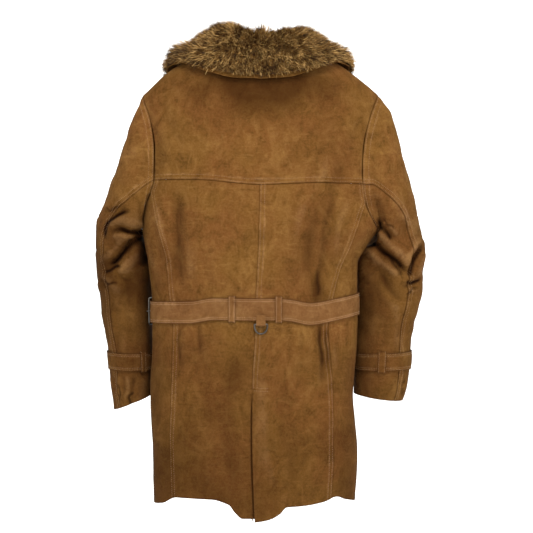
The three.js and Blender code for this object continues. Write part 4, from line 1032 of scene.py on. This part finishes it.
def edge_distances(points):
    """Distance along the cloth of each grid point from each of the grid's four edges."""
    down = np.linalg.norm(np.diff(points, axis=0), axis=-1)
    across = np.linalg.norm(np.diff(points, axis=1), axis=-1)
    low = np.concatenate([np.zeros_like(down[:1]), np.cumsum(down, 0)])
    first = np.concatenate([np.zeros_like(across[:, :1]), np.cumsum(across, 1)], 1)
    return {"low": low, "high": low[-1:] - low, "first": first, "last": first[:, -1:] - first}


def seam_profile(distance, seam, points):
    """Height of the cloth near an edge, how worn it is and how dark."""
    lift, wide = seam["lift"], seam["wide"]
    band = 1 - ease(wide, wide + 3, distance)
    pucker = noise(points, 8.5, 21) * 0.30 + noise(points, 4.2, 22) * 0.22
    height = band * (lift + pucker * bool(seam["rows"]))
    wear = 0.55 * bump(distance - 0.8, 1.0) + 0.4 * bump(distance - wide, 1.4)
    for row in seam["rows"]:
        height = height - GROOVE["deep"] * bump(distance - row, GROOVE["wide"])
        wear = wear + 0.35 * bump(np.abs(distance - row) - 1.4, 0.8)
    shade = 0.75 * bump(distance, 0.7) * (lift < 0) + 0.2 * bump(distance, 0.5)
    patch = 0.12 + 0.62 * ease(-0.4, 0.5, noise(points, 26, 23))
    patch = patch * (0.5 + 0.9 * ease(-0.3, 0.4, noise(points, 4.5, 24)))
    return height, np.clip(wear * seam["wear"] * patch, 0, 1), shade


def trace(points, normals, distances, edge, offset):
    """The line on a grid that keeps a distance from one of its edges, with its normals."""
    distance = distances[edge]
    if edge in ("low", "high"):
        distance, points, normals = distance.T, points.swapaxes(0, 1), normals.swapaxes(0, 1)
    if edge in ("high", "last"):
        distance, points, normals = distance[:, ::-1], points[:, ::-1], normals[:, ::-1]
    line = [[np.interp(offset, d, p[:, k]) for k in range(3)] for d, p in zip(distance, points)]
    facing = [[np.interp(offset, d, n[:, k]) for k in range(3)] for d, n in zip(distance, normals)]
    return np.array(line), unit(np.array(facing))


def sew(group, line, facing):
    """Single stitches along a line, kept for the group's stitching."""
    lengths = np.concatenate([[0], np.cumsum(np.linalg.norm(np.diff(line, axis=0), axis=-1))])
    middle = np.arange(STITCH["pitch"] / 2, lengths[-1], STITCH["pitch"])
    at = lambda values, where: np.stack([np.interp(where, lengths, values[:, k]) for k in range(3)], -1)
    centre, normal = at(line, middle), unit(at(facing, middle))
    along = unit(at(line, middle + 1) - at(line, middle - 1))
    stitch_rows.setdefault(group, []).append((centre, along, normal))


def stitching(name, group, material, slot="suede"):
    """One piece from every row sewn in a group: each stitch is a short pointed thread."""
    centre, along, normal = (np.concatenate(parts) for parts in zip(*stitch_rows.pop(group)))
    half, radius = STITCH["length"] / 2, STITCH["radius"]
    centre = centre + normal * 0.12
    across = unit(np.cross(normal, along))
    corners = np.stack([
        centre - along * half - normal * 0.25, centre + along * half - normal * 0.25,
        centre + across * radius, centre - across * radius,
        centre + normal * radius, centre - normal * radius,
    ], 1)
    ring = np.array([2, 4, 3, 5])
    faces = [(0, b, a) for a, b in zip(ring, np.roll(ring, -1))]
    faces += [(1, a, b) for a, b in zip(ring, np.roll(ring, -1))]
    faces = np.arange(len(centre))[:, None, None] * 6 + np.array(faces)[None]
    return make_mesh(name, corners.reshape(-1, 3), faces.reshape(-1, 3), material, slot=slot)


def sew_edges(group, outer, normals, distances, seams, open_below):
    for edge, kind in seams.items():
        for row in SEAMS[kind]["rows"]:
            line, facing = trace(outer, normals, distances, edge, row)
            closed = (line[:, 2] > open_below) | (edge != "first")
            sew(group, line[closed], facing[closed])


# Places where the coat is painted darker: painted shadow under the collar and in the pocket above the
# belt, and painted shade along folds and over broad areas of the back. x, z, half width, half height and
# how much.
PAINTED_SHADE_PATCHES = table("x z wide high amount", [
    [-6, -118, 84, 46, 1.0],
    [0, -84, 150, 38, 1.2],
    [-110, -150, 60, 60, 0.14],
    [140, -190, 80, 90, 0.34],
    [120, -400, 50, 100, 0.30],
    [-150, -395, 26, 95, 0.20],
    [-190, -480, 34, 90, 0.34],
    [108, -500, 15, 30, 1.0],
    [75, -420, 30, 80, 0.22],
    [-120, -600, 34, 44, 0.26],
    [-100, -800, 50, 110, 0.14],
    [60, -800, 26, 60, 0.10],
    [112, -590, 10, 60, 0.25],
])


def painted_body_shade(points):
    """Painted shade on the body: darker in patches, below the belt and towards the hem, and darkest
    along its sharp crease lines."""
    x, z = points[..., 0], points[..., 2]
    # painted shade: darker below the belt, more towards the hem, on the skirt's left and right and down
    # the left side
    skirt = ease(-560, -640, z)
    shade = 0.26 * skirt + 0.24 * ease(-640, -900, z)
    shade = shade + 0.19 * skirt * ease(40, -60, x) + 0.2 * ease(95, 190, x) * skirt
    shade = shade + 0.1 * ease(-120, -200, x)
    for x_mid, z_mid, wide, high, amount in zip(*PAINTED_SHADE_PATCHES.values()):
        shade = shade + amount * np.exp(-(((x - x_mid) / wide) ** 2) - ((z - z_mid) / high) ** 2)
    # painted shade along the sharp creases of the back
    lines = fine_creases(BODY_LINES, x, z) * (points[..., 1] < 0)
    return shade * (0.85 + 0.4 * noise(points, (44, 44, 60), 31)), 0.7 * lines


def painted_sleeve_shade(points):
    """Painted shade on the sleeves: darker below the elbows, the left one more, darkest on their
    inner sides against the body and along their crease lines.
    """
    x, z = points[..., 0], points[..., 2]
    amount = np.where(x < 0, 0.62 + 0.24 * bump(z + 430, 80), 0.40)
    inner = np.where(x < 0, 0.42, 0.30) * (1 - ease(0, 70, np.abs(x) - 212)) * ease(-330, -420, z)
    lines = fine_creases(SLEEVE_LINES[LEFT], x, z) + fine_creases(SLEEVE_LINES[RIGHT], x, z)
    plain = (amount * ease(-250, -420, z) + inner) * (0.9 + 0.4 * noise(points, (40, 40, 50), 32))
    return plain, 1.2 * lines * (points[..., 1] < 30)


def evenly(amount):
    """The same darkening everywhere, with no painted crease lines."""
    return lambda points: (np.full(points.shape[:-1], amount), np.zeros(points.shape[:-1]))


def cloth(name, grid, seams, group, material=None, reshape=None, wall=WALL,
          open_below=-math.inf, slot="suede", stain_and_painted_shade=painted_body_shade, deep=0.35):
    """A panel: a thin closed wall whose edges are seamed and stitched as named in `seams`.

    Below the height `open_below` its first edge hangs free, with no seam. The darkening function given
    returns painted shade, or for the belt its leather's own darker patches, with painted shade along
    crease lines; `deep` is how much painted shade fills its folds' bottoms.
    """
    points, normals, folds = grid
    distances = edge_distances(points)
    height = np.zeros(folds.shape)
    wear = 0.30 * ease(1.2, 4.2, folds)
    dark, painted_crease_shade = stain_and_painted_shade(points)
    # painted shade: the bottoms of the folds are painted darker
    shade = dark + deep * ease(1.2, 7.0, -folds)
    closed = ease(open_below - 5, open_below + 2, points[..., 2]) if open_below > -math.inf else 1.0
    for edge, kind in seams.items():
        share = closed if edge == "first" else 1.0
        seam_height, seam_wear, seam_shade = seam_profile(distances[edge], SEAMS[kind], points)
        height, wear = height + share * seam_height, wear + share * seam_wear
        shade = shade + share * seam_shade
    if reshape is not None:
        height = height + reshape(points, distances)
    outer = points + normals * height[..., None]
    inner = outer - normals * wall
    attributes = {key: np.clip(value, 0, 1)
                  for key, value in (("wear", wear), ("shade", shade), ("painted_crease_shade", painted_crease_shade))}
    piece = wall_piece(name + "_cloth", outer, inner, material or SUEDE, attributes, slot=slot)
    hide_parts(name)
    sew_edges(group, outer, normals, distances, seams, open_below)
    return outer, normals, distances


# ------------------------------------------------------------------ the straps' and metal's form

BELT = dict(half=22, thick=2.4, start=-103.4, turned=410)
BELT_LIFT = table("turned out", [
    [0, 2], [336, 2], [344, 2.2], [351, 4.4], [358, 6.2], [368, 5.2], [410, 5.2],
])
BELT_LOOPS = {"left": -58, "right": 32}
LOOP_HALF, LOOP_WALL = 6.8, 1.5
BUCKLE = dict(bar=-101.5, rim=-88, half=27, wire=1.6, bar_out=3.9, rim_out=6.6, pin_out=10.9)
RING = dict(x=-2, y=-115.04229, z=-559, width=28.5, drop=20, wire=1.75)
TAB = dict(half=9, top=-541, wall=1.6, hole=2.15)
CUFF_STRAP = dict(mid=642, half=18, thick=2, out=1.3, start=-60, turned=395)
CUFF_LIFT = table("turned out", [[0, 1.3], [338, 1.3], [358, 3.9], [395, 3.9]])
CUFF_LOOPS = {LEFT: 129, RIGHT: 97}
CUFF_BUTTON = dict(radius=9, thick=3.2, out=0.4, turned=380)
FRONT_BUTTON = dict(radius=14, thick=4.5, out=0.5, heights=[-292, -410, -628, -746])


def squares(rows, cols):
    return np.meshgrid(rows, cols, indexing="ij")


def full_turn(sides):
    return np.linspace(0, 2 * math.pi, sides, endpoint=False)


def loop_grid(place, strap_half, strap_top):
    """A loop over a strap. `place` gives the points for a share across, a rise and a lift."""
    h, foot, top = strap_half, 0.9 + LOOP_WALL, strap_top + 0.5 + LOOP_WALL
    rise = [-h - 3.6, -h - 2.9, -h - 2.2, -h, 0, h, h + 2.2, h + 2.9, h + 3.6]
    lift = [foot, foot, top, top, top + 0.25, top, top, foot, foot]
    along = np.concatenate([np.linspace(-h - 3.6, -h - 1, 9), np.linspace(-h, h, 15)[1:-1],
                            np.linspace(h + 1, h + 3.6, 9)])
    up, across = squares(along, np.linspace(-1, 1, 13))
    return place(across, up, np.interp(up, rise, lift))


def rod(name, path, radius, material, slot, closed=False, sides=20, body="coat"):
    """A round wire along a path, with domed ends where it is open."""
    path = np.asarray(path, float)
    if closed:
        forward = unit(np.roll(path, -1, 0) - np.roll(path, 1, 0))
    else:
        forward = unit(np.gradient(path, axis=0))
    out = unit(np.cross(forward, [0.13, 0.21, 0.97]))
    for k in range(1, len(path)):
        out[k] = unit(out[k - 1] - forward[k] * np.dot(out[k - 1], forward[k]))
    side = np.cross(forward, out)
    turn = full_turn(sides)
    radii = np.full(len(path), float(radius))
    if not closed:
        radii[[0, -1]] *= 0.55
    ring = (out[:, None] * np.cos(turn)[:, None] + side[:, None] * np.sin(turn)[:, None])
    points = path[:, None] + ring * radii[:, None, None]
    at = np.arange(len(path) * sides).reshape(len(path), sides)
    near, far = (at, np.roll(at, -1, 0)) if closed else (at[:-1], at[1:])
    quads = [near, far, np.roll(far, -1, 1), np.roll(near, -1, 1)]
    faces = np.stack([part.ravel() for part in quads], -1)
    points = points.reshape(-1, 3)
    if not closed:
        first, last = len(points), len(points) + 1
        points = np.concatenate([points, path[:1], path[-1:]])
        caps = [(first, a, b, b) for a, b in zip(at[0], np.roll(at[0], -1))]
        caps += [(last, b, a, a) for a, b in zip(at[-1], np.roll(at[-1], -1))]
        triangles = np.concatenate([faces[:, [0, 1, 2]], faces[:, [0, 2, 3]], np.array(caps)[:, :3]])
        return make_mesh(name, points, triangles[:, ::-1], material, body=body, slot=slot)
    return make_mesh(name, points, faces[:, ::-1], material, body=body, slot=slot)


LATHE_SIDES = 40


def square_to(normal):
    """Two directions square to a normal and to each other."""
    across = unit(np.cross(normal, [0.02, 0.03, 1.0]))
    return across, np.cross(normal, across)


def turned_piece(name, profile, seat, normal, material, slot):
    """A piece turned on a lathe, standing on a seat along its normal."""
    radius, height = np.array(profile, float).T
    across, other = square_to(normal)
    turn = full_turn(LATHE_SIDES)
    ring = across * np.cos(turn)[:, None] + other * np.sin(turn)[:, None]
    points = seat + radius[:, None, None] * ring + height[:, None, None] * normal
    faces = round_faces(len(radius), LATHE_SIDES)
    return make_mesh(name, points.reshape(-1, 3), faces, material, slot=slot, sharp=40)


def rounded_profile(radius, thick):
    share = np.linspace(0, 1, 9) * math.pi / 2
    rim = [(radius * (0.93 + 0.07 * math.cos(t)), thick * (0.5 + 0.5 * math.sin(t))) for t in share]
    dish = [(radius * r, thick * h) for r, h in ((0.86, 0.97), (0.78, 0.80), (0.70, 0.70), (0.35, 0.62))]
    foot = [(0.01, 0), (radius * 0.8, 0), (radius * 0.97, thick * 0.22)]
    return foot + rim + dish + [(0.01, thick * 0.6)]


def add_button(name, settings, seat, normal):
    radius, thick = settings["radius"], settings["thick"]
    piece = turned_piece(name + "_turned", rounded_profile(radius, thick), seat, normal, HORN, "button")
    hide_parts(name)
    across, other = square_to(normal)
    step = 0.17 * radius
    for k, (a, b) in enumerate(((1, 1), (1, -1))):
        share = np.linspace(-1, 1, 9)
        arch = 0.5 * (1 - share**4)
        path = (seat + (across * a + other * b) * (share * step)[:, None]
                + normal * (thick * 0.62 + arch)[:, None])
        rod(f"{name}_thread_{k + 1}", path, 0.55, THREAD, "button", sides=8)


# ------------------------------------------------------------------ the coat's panels

def back_grid(side):
    row, col = squares(np.concatenate([np.linspace(0, 1, 141)[:-1], 1 + np.linspace(0, 1, 11)]),
                       graded(84, 3, 3))
    points, normals, folds = coat(*back_spots(side, row, col))
    if side == LEFT:
        drawn = 3.2 * (1 - ease(VENT_TOP - 60, VENT_TOP - 2, points[..., 2]))  # under the right one
        away = np.abs(points[..., 0] - points[:, :1, 0])
        points = points - np.stack([drawn * np.exp(-away / 14), 0 * away, 0 * away], -1)
    return points, normals, folds


def vent_shape(side):
    """Below the seam's end the right panel laps over the left."""
    def reshape(points, distances):
        hanging = 1 - ease(VENT_TOP - 26, VENT_TOP, points[..., 2])
        away = distances["first"]
        lap = 2.4 * np.exp(-away / 18) if side == RIGHT else -1.9 * np.exp(-away / 10)
        return hanging * lap + 0.5 * (side == RIGHT) * bump(points[..., 2] - VENT_TOP, 3) * (away < 30)
    return reshape


for name, side in SIDES.items():
    centre = "fell" if side == RIGHT else "under"
    cloth(f"back_{name}", back_grid(side),
          {"first": centre, "last": "fell", "high": "under", "low": "hem"},
          "body", reshape=vent_shape(side), open_below=VENT_TOP)

row, col = squares(graded(84, 3, 1), graded(150, 2, 2) * 2 - 1)
cloth("yoke_back", coat(*yoke_spots(row, col)), {"low": "fell", "first": "under", "last": "under"},
      "body")

for name, side in SIDES.items():
    row, col = squares(graded(120, 0, 2), graded(48, 2, 2))
    cloth(f"side_{name}", coat(*side_spots(side, row, col)),
          {"first": "under", "last": "under", "high": "under", "low": "hem"}, "body")

for name, side in SIDES.items():
    row, col = squares(np.concatenate([np.linspace(0, 1, 101)[:-1], 1 + graded(47)]), graded(48, 2, 3))
    points, normals, folds = coat(*front_spots(side, row, col))
    if side == RIGHT:
        points = points - normals * (3.2 * (1 - ease(34, 66, points[..., 0])))[..., None]
    cloth(f"front_{name}", (points, normals, folds), {"first": "edge", "last": "fell", "low": "hem"},
          "body")

UNDERLAP = dict(low=-931, above=12, left=-14, right=36, gap=2.4)
row, col = squares(np.linspace(0, 1, 60), np.linspace(0, 1, 16))
z = mix(UNDERLAP["low"], VENT_TOP + UNDERLAP["above"], row)
phi = angle_at(read(CENTRE_BACK, "x", z) + mix(UNDERLAP["left"], UNDERLAP["right"], col), z, BACK)
# painted shade: the underlap, seen only through the vent's gap, is painted dark all over
cloth("vent_underlap", coat(phi, z, out=-(WALL + UNDERLAP["gap"])), {"low": "hem"}, "body",
      stain_and_painted_shade=evenly(0.9))

# The tack across the top of the vent: two short rows.
for above in (-4, 1.5):
    x = np.linspace(3, 31, 30)
    z = VENT_TOP + above - 0.05 * x
    phi = angle_at(read(CENTRE_BACK, "x", z) + x, z, BACK)
    point, normal, _ = coat(phi, z, out=0.9)
    sew("body", point, normal)
stitching("body_stitching", "body", THREAD)


# ------------------------------------------------------------------ sleeves

def half_gap(grid):
    """Draws a piece's long edges in by half the gap of a seam."""
    points, normals, folds = grid
    points = points.copy()
    points[:, 0] += unit(points[:, 1] - points[:, 0]) * SEAM_GAP / 2
    points[:, -1] += unit(points[:, -2] - points[:, -1]) * SEAM_GAP / 2
    return points, normals, folds


def cuff_spot(side):
    def place(across, up, out):
        angle = np.radians(CUFF_LOOPS[side] + across * 7.5)
        return sleeve(side, CUFF_STRAP["mid"] - up, angle, out)
    return place


for name, side in SIDES.items():
    rows = graded(168, 3, 1, 1.6, 0.40) * SLEEVE_LENGTH
    points, normals, folds, hind = sleeve_grid(side, rows)
    for part, columns in (("top", slice(0, hind + 1)), ("under", slice(hind, None))):
        grid = half_gap((points[:, columns], normals[:, columns], folds[:, columns]))
        hind_seam = "fell" if part == "top" else "under"
        cloth(f"sleeve_{part}_{name}", grid,
              {"low": "sleeve", "high": "hem", "last": hind_seam, "first": "under"},
              f"sleeve_{name}", stain_and_painted_shade=painted_sleeve_shade, deep=0.5)

    turned, across = squares(np.linspace(0, CUFF_STRAP["turned"], 150), np.linspace(-1, 1, 19))
    angle = np.radians(CUFF_STRAP["start"] + turned)
    lift = np.interp(turned, CUFF_LIFT["turned"], CUFF_LIFT["out"]) + CUFF_STRAP["thick"]
    mid = CUFF_STRAP["mid"] - across * CUFF_STRAP["half"]
    cloth(f"cuff_strap_{name}", sleeve(side, mid, angle, lift), {"first": "strap", "last": "strap"},
          f"sleeve_{name}", wall=CUFF_STRAP["thick"], slot="trim_suede", stain_and_painted_shade=painted_sleeve_shade)

    grid = loop_grid(cuff_spot(side), CUFF_STRAP["half"], CUFF_STRAP["out"] + CUFF_STRAP["thick"])
    cloth(f"cuff_loop_{name}", grid, {"first": "narrow", "last": "narrow"}, f"sleeve_{name}",
          wall=LOOP_WALL, slot="trim_suede", stain_and_painted_shade=painted_sleeve_shade)
    stitching(f"sleeve_{name}_stitching", f"sleeve_{name}", THREAD)

    seat_out = CUFF_LIFT["out"][-1] + CUFF_STRAP["thick"] + CUFF_BUTTON["out"]
    seat_angle = math.radians(CUFF_STRAP["start"] + CUFF_BUTTON["turned"])
    seat, normal, _ = sleeve(side, CUFF_STRAP["mid"], seat_angle, seat_out)
    add_button(f"cuff_button_{name}", CUFF_BUTTON, seat, normal)

for k, height in enumerate(FRONT_BUTTON["heights"]):
    phi = angle_at(np.array(0.0), height, FRONT)
    seat, normal, _ = coat(phi, height, out=FRONT_BUTTON["out"])
    add_button(f"front_button_{k + 1}", FRONT_BUTTON, seat, normal)


# ------------------------------------------------------------------ collar and fur

around, along = squares(np.linspace(0, 1, 28), np.linspace(-1, 1, 170))
points, normals = collar(along, around)
cloth("collar_under", (points, normals, np.zeros(along.shape)), {}, "collar", wall=COLLAR_WALL,
      stain_and_painted_shade=evenly(0.15))

around, along = squares(np.linspace(0.03, 0.94, 34), np.linspace(-1, 1, 190))
skin = collar(along, around, 0.42 * fur_depth(along, around))[0]
backing = collar(along, around, SEAM_GAP)[0]
fur_body = wall_piece("fur_body", skin, backing, SKIN, slot="fur")
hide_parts("collar_fur")


def fur_blades(name, low, high, count, width, length, seed):
    """Hairs on a stretch of the collar, each a slim kite that leans with its clump towards the edge."""
    random = np.random.default_rng(seed)
    along = random.uniform(low, high, count)
    bare = 0.07 - 0.05 * ease(0.2, 0.5, np.abs(along))  # the leather's rim shows below the fur
    around = mix(0.05, 1 - bare, random.uniform(0, 1, count))
    depth = fur_depth(along, around)
    keep = random.uniform(0, 1, count) < np.clip(depth / 9, 0, 1)
    along, around, depth = along[keep], around[keep], depth[keep]
    total = len(along)
    root, normal = collar(along, around, 0.30 * depth)
    down = unit(collar_point(along, np.minimum(around + 0.01, 1)) - collar_point(along, around - 0.01))
    outward = np.cross(normal, down)
    outward = outward * np.sign(outward[:, :1] * along[:, None])
    clump = np.stack([noise(root, 8, 40 + k) for k in range(3)], -1)
    fine = random.normal(0, 1, (total, 3))
    # Hairs lean down more towards the edge, and sideways towards the collar's ends.
    lean = 0.45 + 0.75 * ease(0.45, 0.95, around)
    ends = ease(0.15, 0.5, np.abs(along))
    aim = unit(normal + down * lean[:, None] + outward * ends[:, None] + 0.85 * clump + 0.34 * fine)
    droop = unit(aim + down * (0.2 + 0.2 * lean)[:, None] + 0.25 * random.normal(0, 1, (total, 3)))
    # A few stray hairs, a tuft at the middle of the crest and the rim at the sides are longer.
    stray = random.uniform(0, 1, total) ** 5
    tuft = 1.8 * bump(along + 0.004, 0.016) * bump(around - 0.34, 0.10)
    rim = 1.5 * ease(0.60, 0.94, around) * ease(0.16, 0.42, np.abs(along))
    share = 0.72 + 0.36 * random.uniform(0, 1, total) + 0.14 * clump[:, 0] + 0.8 * stray + tuft + rim
    reach = depth * length * share
    middle = root + aim * (0.50 * reach)[:, None]
    tip = middle + droop * (0.58 * reach)[:, None]
    half = width * (0.7 + 0.6 * random.uniform(0, 1, total))[:, None] / 2
    wide = unit(np.cross(aim, random.normal(0, 1, (total, 3)))) * half
    corners = np.stack([root, middle + wide, middle - wide, tip], 1)
    faces = np.arange(total)[:, None, None] * 4 + np.array([[0, 1, 2], [2, 1, 3]])[None]
    locks = 0.26 * noise(root, 4.5, 51) + 0.12 * noise(root, 18, 52)
    tone = np.clip(0.49 + 0.10 * along + locks + 0.19 * fine[:, 0], 0, 1)
    attributes = {
        "reach": np.tile([0.05, 0.55, 0.55, 1.0], (total, 1)).ravel(),
        "tone": np.repeat(tone, 4),
    }
    return make_mesh(name, corners.reshape(-1, 3), faces.reshape(-1, 3), STRANDS, attributes, sharp=0,
                     slot="fur")


STRETCHES = {"left": (-1, -0.34), "middle": (-0.34, 0.34), "right": (0.34, 1)}
HAIRS = {  # how many before they are thinned, how wide, how long for the fur's depth, first seed
    "under": (42000, 1.1, 0.95, 100),
    "guard": (20000, 1.5, 1.25, 200),
}
for k, (name, (low, high)) in enumerate(STRETCHES.items()):
    for layer, (count, width, length, seed) in HAIRS.items():
        fur_blades(f"fur_{layer}_{name}", low, high, count, width, length, seed + k)


# ------------------------------------------------------------------ belt, loops, buckle and ring

def turned_angle(turned):
    return ((BELT["start"] - turned + 540) % 360 + 360) % 360 - 180


turned, across = squares(np.linspace(0, BELT["turned"], 380), np.linspace(-1, 1, 21))
angle = turned_angle(turned)
z = read(BELT_LINE, "z", angle) + across * BELT["half"]
out = np.interp(turned, BELT_LIFT["turned"], BELT_LIFT["out"]) + BELT["thick"]


def belt_creases(points, distances):
    """Short upright wrinkles, mostly where the belt passes its loops."""
    x = points[..., 0]
    near = 0.35 + 0.65 * sum(bump(np.abs(x - at) - 16, 14) for at in BELT_LOOPS.values())
    ridged = np.clip(1 - np.abs(noise(points, (15, 40, 34), 61)) / 0.4, 0, 1)
    return near * (0.8 * noise(points, (22, 22, 18), 62) - 1.5 * ridged**2)


def belt_stain(points):
    """The belt's leather is darker in soft patches, with no pinched lines."""
    return 0.10 + 0.20 * noise(points, (40, 40, 30), 63), np.zeros(points.shape[:-1])


cloth("belt", coat(np.radians(angle), z, out=out), {"first": "strap", "last": "strap"}, "belt",
      material=TRIM, wall=BELT["thick"], slot="trim_suede", reshape=belt_creases, stain_and_painted_shade=belt_stain)


def belt_spot(x):
    level = read(BELT_LINE, "z", np.degrees(angle_at(x, -531, BACK)))

    def place(across, up, out):
        height = level + up
        return coat(angle_at(x + across * LOOP_HALF, height, BACK), height, out=out)
    return place


for name, x in BELT_LOOPS.items():
    cloth(f"belt_loop_{name}", loop_grid(belt_spot(x), BELT["half"], 2 + BELT["thick"]),
          {"first": "narrow", "last": "narrow"}, "belt", material=TRIM, wall=LOOP_WALL,
          slot="trim_suede", stain_and_painted_shade=belt_stain)


def round_corners(corners, radius):
    """A closed path through corners, each one turned by a short arc."""
    path = []
    for k, corner in enumerate(corners):
        before = corner + unit(corners[k - 1] - corner) * radius
        after = corner + unit(corners[(k + 1) % len(corners)] - corner) * radius
        for t in np.linspace(0, 1, 7)[:, None]:
            path.append((1 - t) ** 2 * before + 2 * t * (1 - t) * corner + t * t * after)
    return np.array(path)


level = float(read(BELT_LINE, "z", BUCKLE["bar"]))


def buckle_spot(angle, up, out):
    return coat(math.radians(angle), level + up, out=out)[0]


half = BUCKLE["half"]
bar, rim = (BUCKLE["bar"], BUCKLE["bar_out"]), (BUCKLE["rim"], BUCKLE["rim_out"])
frame_corners = ((bar, -half), (rim, -half), (rim, half), (bar, half))
corners = [buckle_spot(angle, up, out) for (angle, out), up in frame_corners]
buckle = rod("buckle_frame", round_corners(corners, 5), BUCKLE["wire"], STEEL, "steel", closed=True)
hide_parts("belt_buckle_frame")
pin_angles = (BUCKLE["bar"] - 0.5, BUCKLE["rim"] + 1)
pin_ends = [buckle_spot(angle, 0, BUCKLE["pin_out"]) for angle in pin_angles]
pin = rod("buckle_pin", [mix(*pin_ends, t) for t in np.linspace(0, 1, 9)], 1.3, STEEL, "steel")
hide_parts("belt_buckle_pin")

span = RING["width"] / 2 - RING["wire"]
share = np.linspace(0, 1, 41)[1:-1]
bow = np.stack([span * np.cos(math.pi * share), 0 * share,
                -(RING["drop"] - RING["wire"]) * np.sin(math.pi * share) ** 0.8], -1)
straight = np.stack([np.linspace(-span, span, 13), np.zeros(13), np.zeros(13)], -1)
ring = rod("d_ring_wire", np.concatenate([straight, bow]) + [RING["x"], RING["y"], RING["z"]],
           RING["wire"], DARK_STEEL, "dark_steel", closed=True, body="ring")
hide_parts("d_ring")

reach, wall, high = TAB["hole"] + TAB["wall"], TAB["wall"], TAB["top"] - RING["z"]
swing = np.linspace(0, -math.pi, 17)
climbed = np.linspace(0.08, 1, 9)
path = np.concatenate([
    np.stack([np.full(6, reach), np.linspace(high, 1, 6)], -1),
    np.stack([reach * np.cos(swing), reach * np.sin(swing)], -1),
    np.stack([mix(-reach, reach - 2 * wall, ease(0, 1, climbed)), climbed * 0.55 * high], -1),
    np.stack([np.full(5, reach - 2 * wall), np.linspace(0.62, 1, 5) * high], -1),
])
forward = unit(np.gradient(path, axis=0))
outward = np.stack([-forward[:, 1], forward[:, 0]], -1)
outward = outward * np.sign(outward[5, 0])
across = np.linspace(-1, 1, 15) * TAB["half"]


def tab_layer(inset):
    flat = path - outward * inset
    points = np.zeros((len(flat), len(across), 3))
    points[..., 0] = RING["x"] + across
    points[..., 1] = RING["y"] + flat[:, None, 0]
    points[..., 2] = RING["z"] + flat[:, None, 1]
    return points


plain = {key: np.zeros((len(path), len(across))) for key in ("wear", "shade", "painted_crease_shade")}
tab = wall_piece("d_ring_tab_cloth", tab_layer(0), tab_layer(wall * 0.96), TRIM, plain, slot="trim_suede")
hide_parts("d_ring_tab")
stitching("belt_stitching", "belt", BELT_THREAD, "trim_suede")


# ------------------------------------------------------------------ stage, lights and camera

# A round floor whose edge curves up into a wall.
FLOOR = dict(z=-1450, flat=4200, bend=1400, wall=2000, sides=96)
turn = full_turn(FLOOR["sides"])
bending = np.linspace(0, math.pi / 2, 14)
reach = np.concatenate([[1, 2600], FLOOR["flat"] + FLOOR["bend"] * np.sin(bending),
                        [FLOOR["flat"] + FLOOR["bend"]]])
lift = np.concatenate([[0, 0], FLOOR["bend"] * (1 - np.cos(bending)), [FLOOR["bend"] + FLOOR["wall"]]])
bowl = np.stack([reach[:, None] * np.cos(turn), reach[:, None] * np.sin(turn),
                 FLOOR["z"] + lift[:, None] + 0 * turn], -1)
floor = make_mesh("pale_glowing_floor", bowl.reshape(-1, 3), round_faces(len(reach), FLOOR["sides"]),
                  pale_glowing_floor(), sharp=0, body=None)


def add_light(name, place, aim, size, power, colour):
    light = bpy.data.lights.new(name, "AREA")
    light.shape, light.size, light.size_y = "RECTANGLE", *size
    light.energy, light.color = power, colour
    lamp = bpy.data.objects.new(name, light)
    away = np.array(place, float) - np.array(aim, float)
    flat = math.hypot(away[0], away[1])
    lamp.location = place
    lamp.rotation_euler = (math.atan2(flat, away[2]), 0, math.atan2(away[0], -away[1]))
    bpy.context.scene.collection.objects.link(lamp)


LIGHTS = {  # place, what it faces and size in metres, power in watts, colour
    "key": ((0.15, -2.1, 2.2), (0, 0, -0.4), (1.3, 1.0), 120, (1.0, 0.98, 0.95)),
    "fill": ((2.2, -2.4, 0.2), (0, 0, -0.5), (1.2, 1.2), 26, (0.97, 0.98, 1.0)),
    "front": ((-0.4, 2.6, 1.6), (0, 0, -0.4), (2.0, 1.4), 90, (1.0, 0.99, 0.97)),
}
for name, settings in LIGHTS.items():
    add_light(name, *settings)

world = bpy.data.worlds.new("studio")
world.use_nodes = True
world.node_tree.nodes["Background"].inputs["Color"].default_value = (1, 1, 1, 1)
world.node_tree.nodes["Background"].inputs["Strength"].default_value = 0.35
scene = bpy.context.scene
scene.world = world
scene.view_settings.view_transform = "Standard"

SENSOR = 36
VIEW = dict(distance=1.8, width=1.0287)  # how wide the picture is at this distance, in metres
camera = bpy.data.cameras.new("camera")
camera.sensor_width = SENSOR
camera.lens = SENSOR * VIEW["distance"] / VIEW["width"]
viewer = bpy.data.objects.new("camera", camera)
viewer.location = (0.0087, -1.910, -0.4475)
viewer.rotation_euler = (math.pi / 2, 0, 0)
scene.collection.objects.link(viewer)
scene.camera = viewer
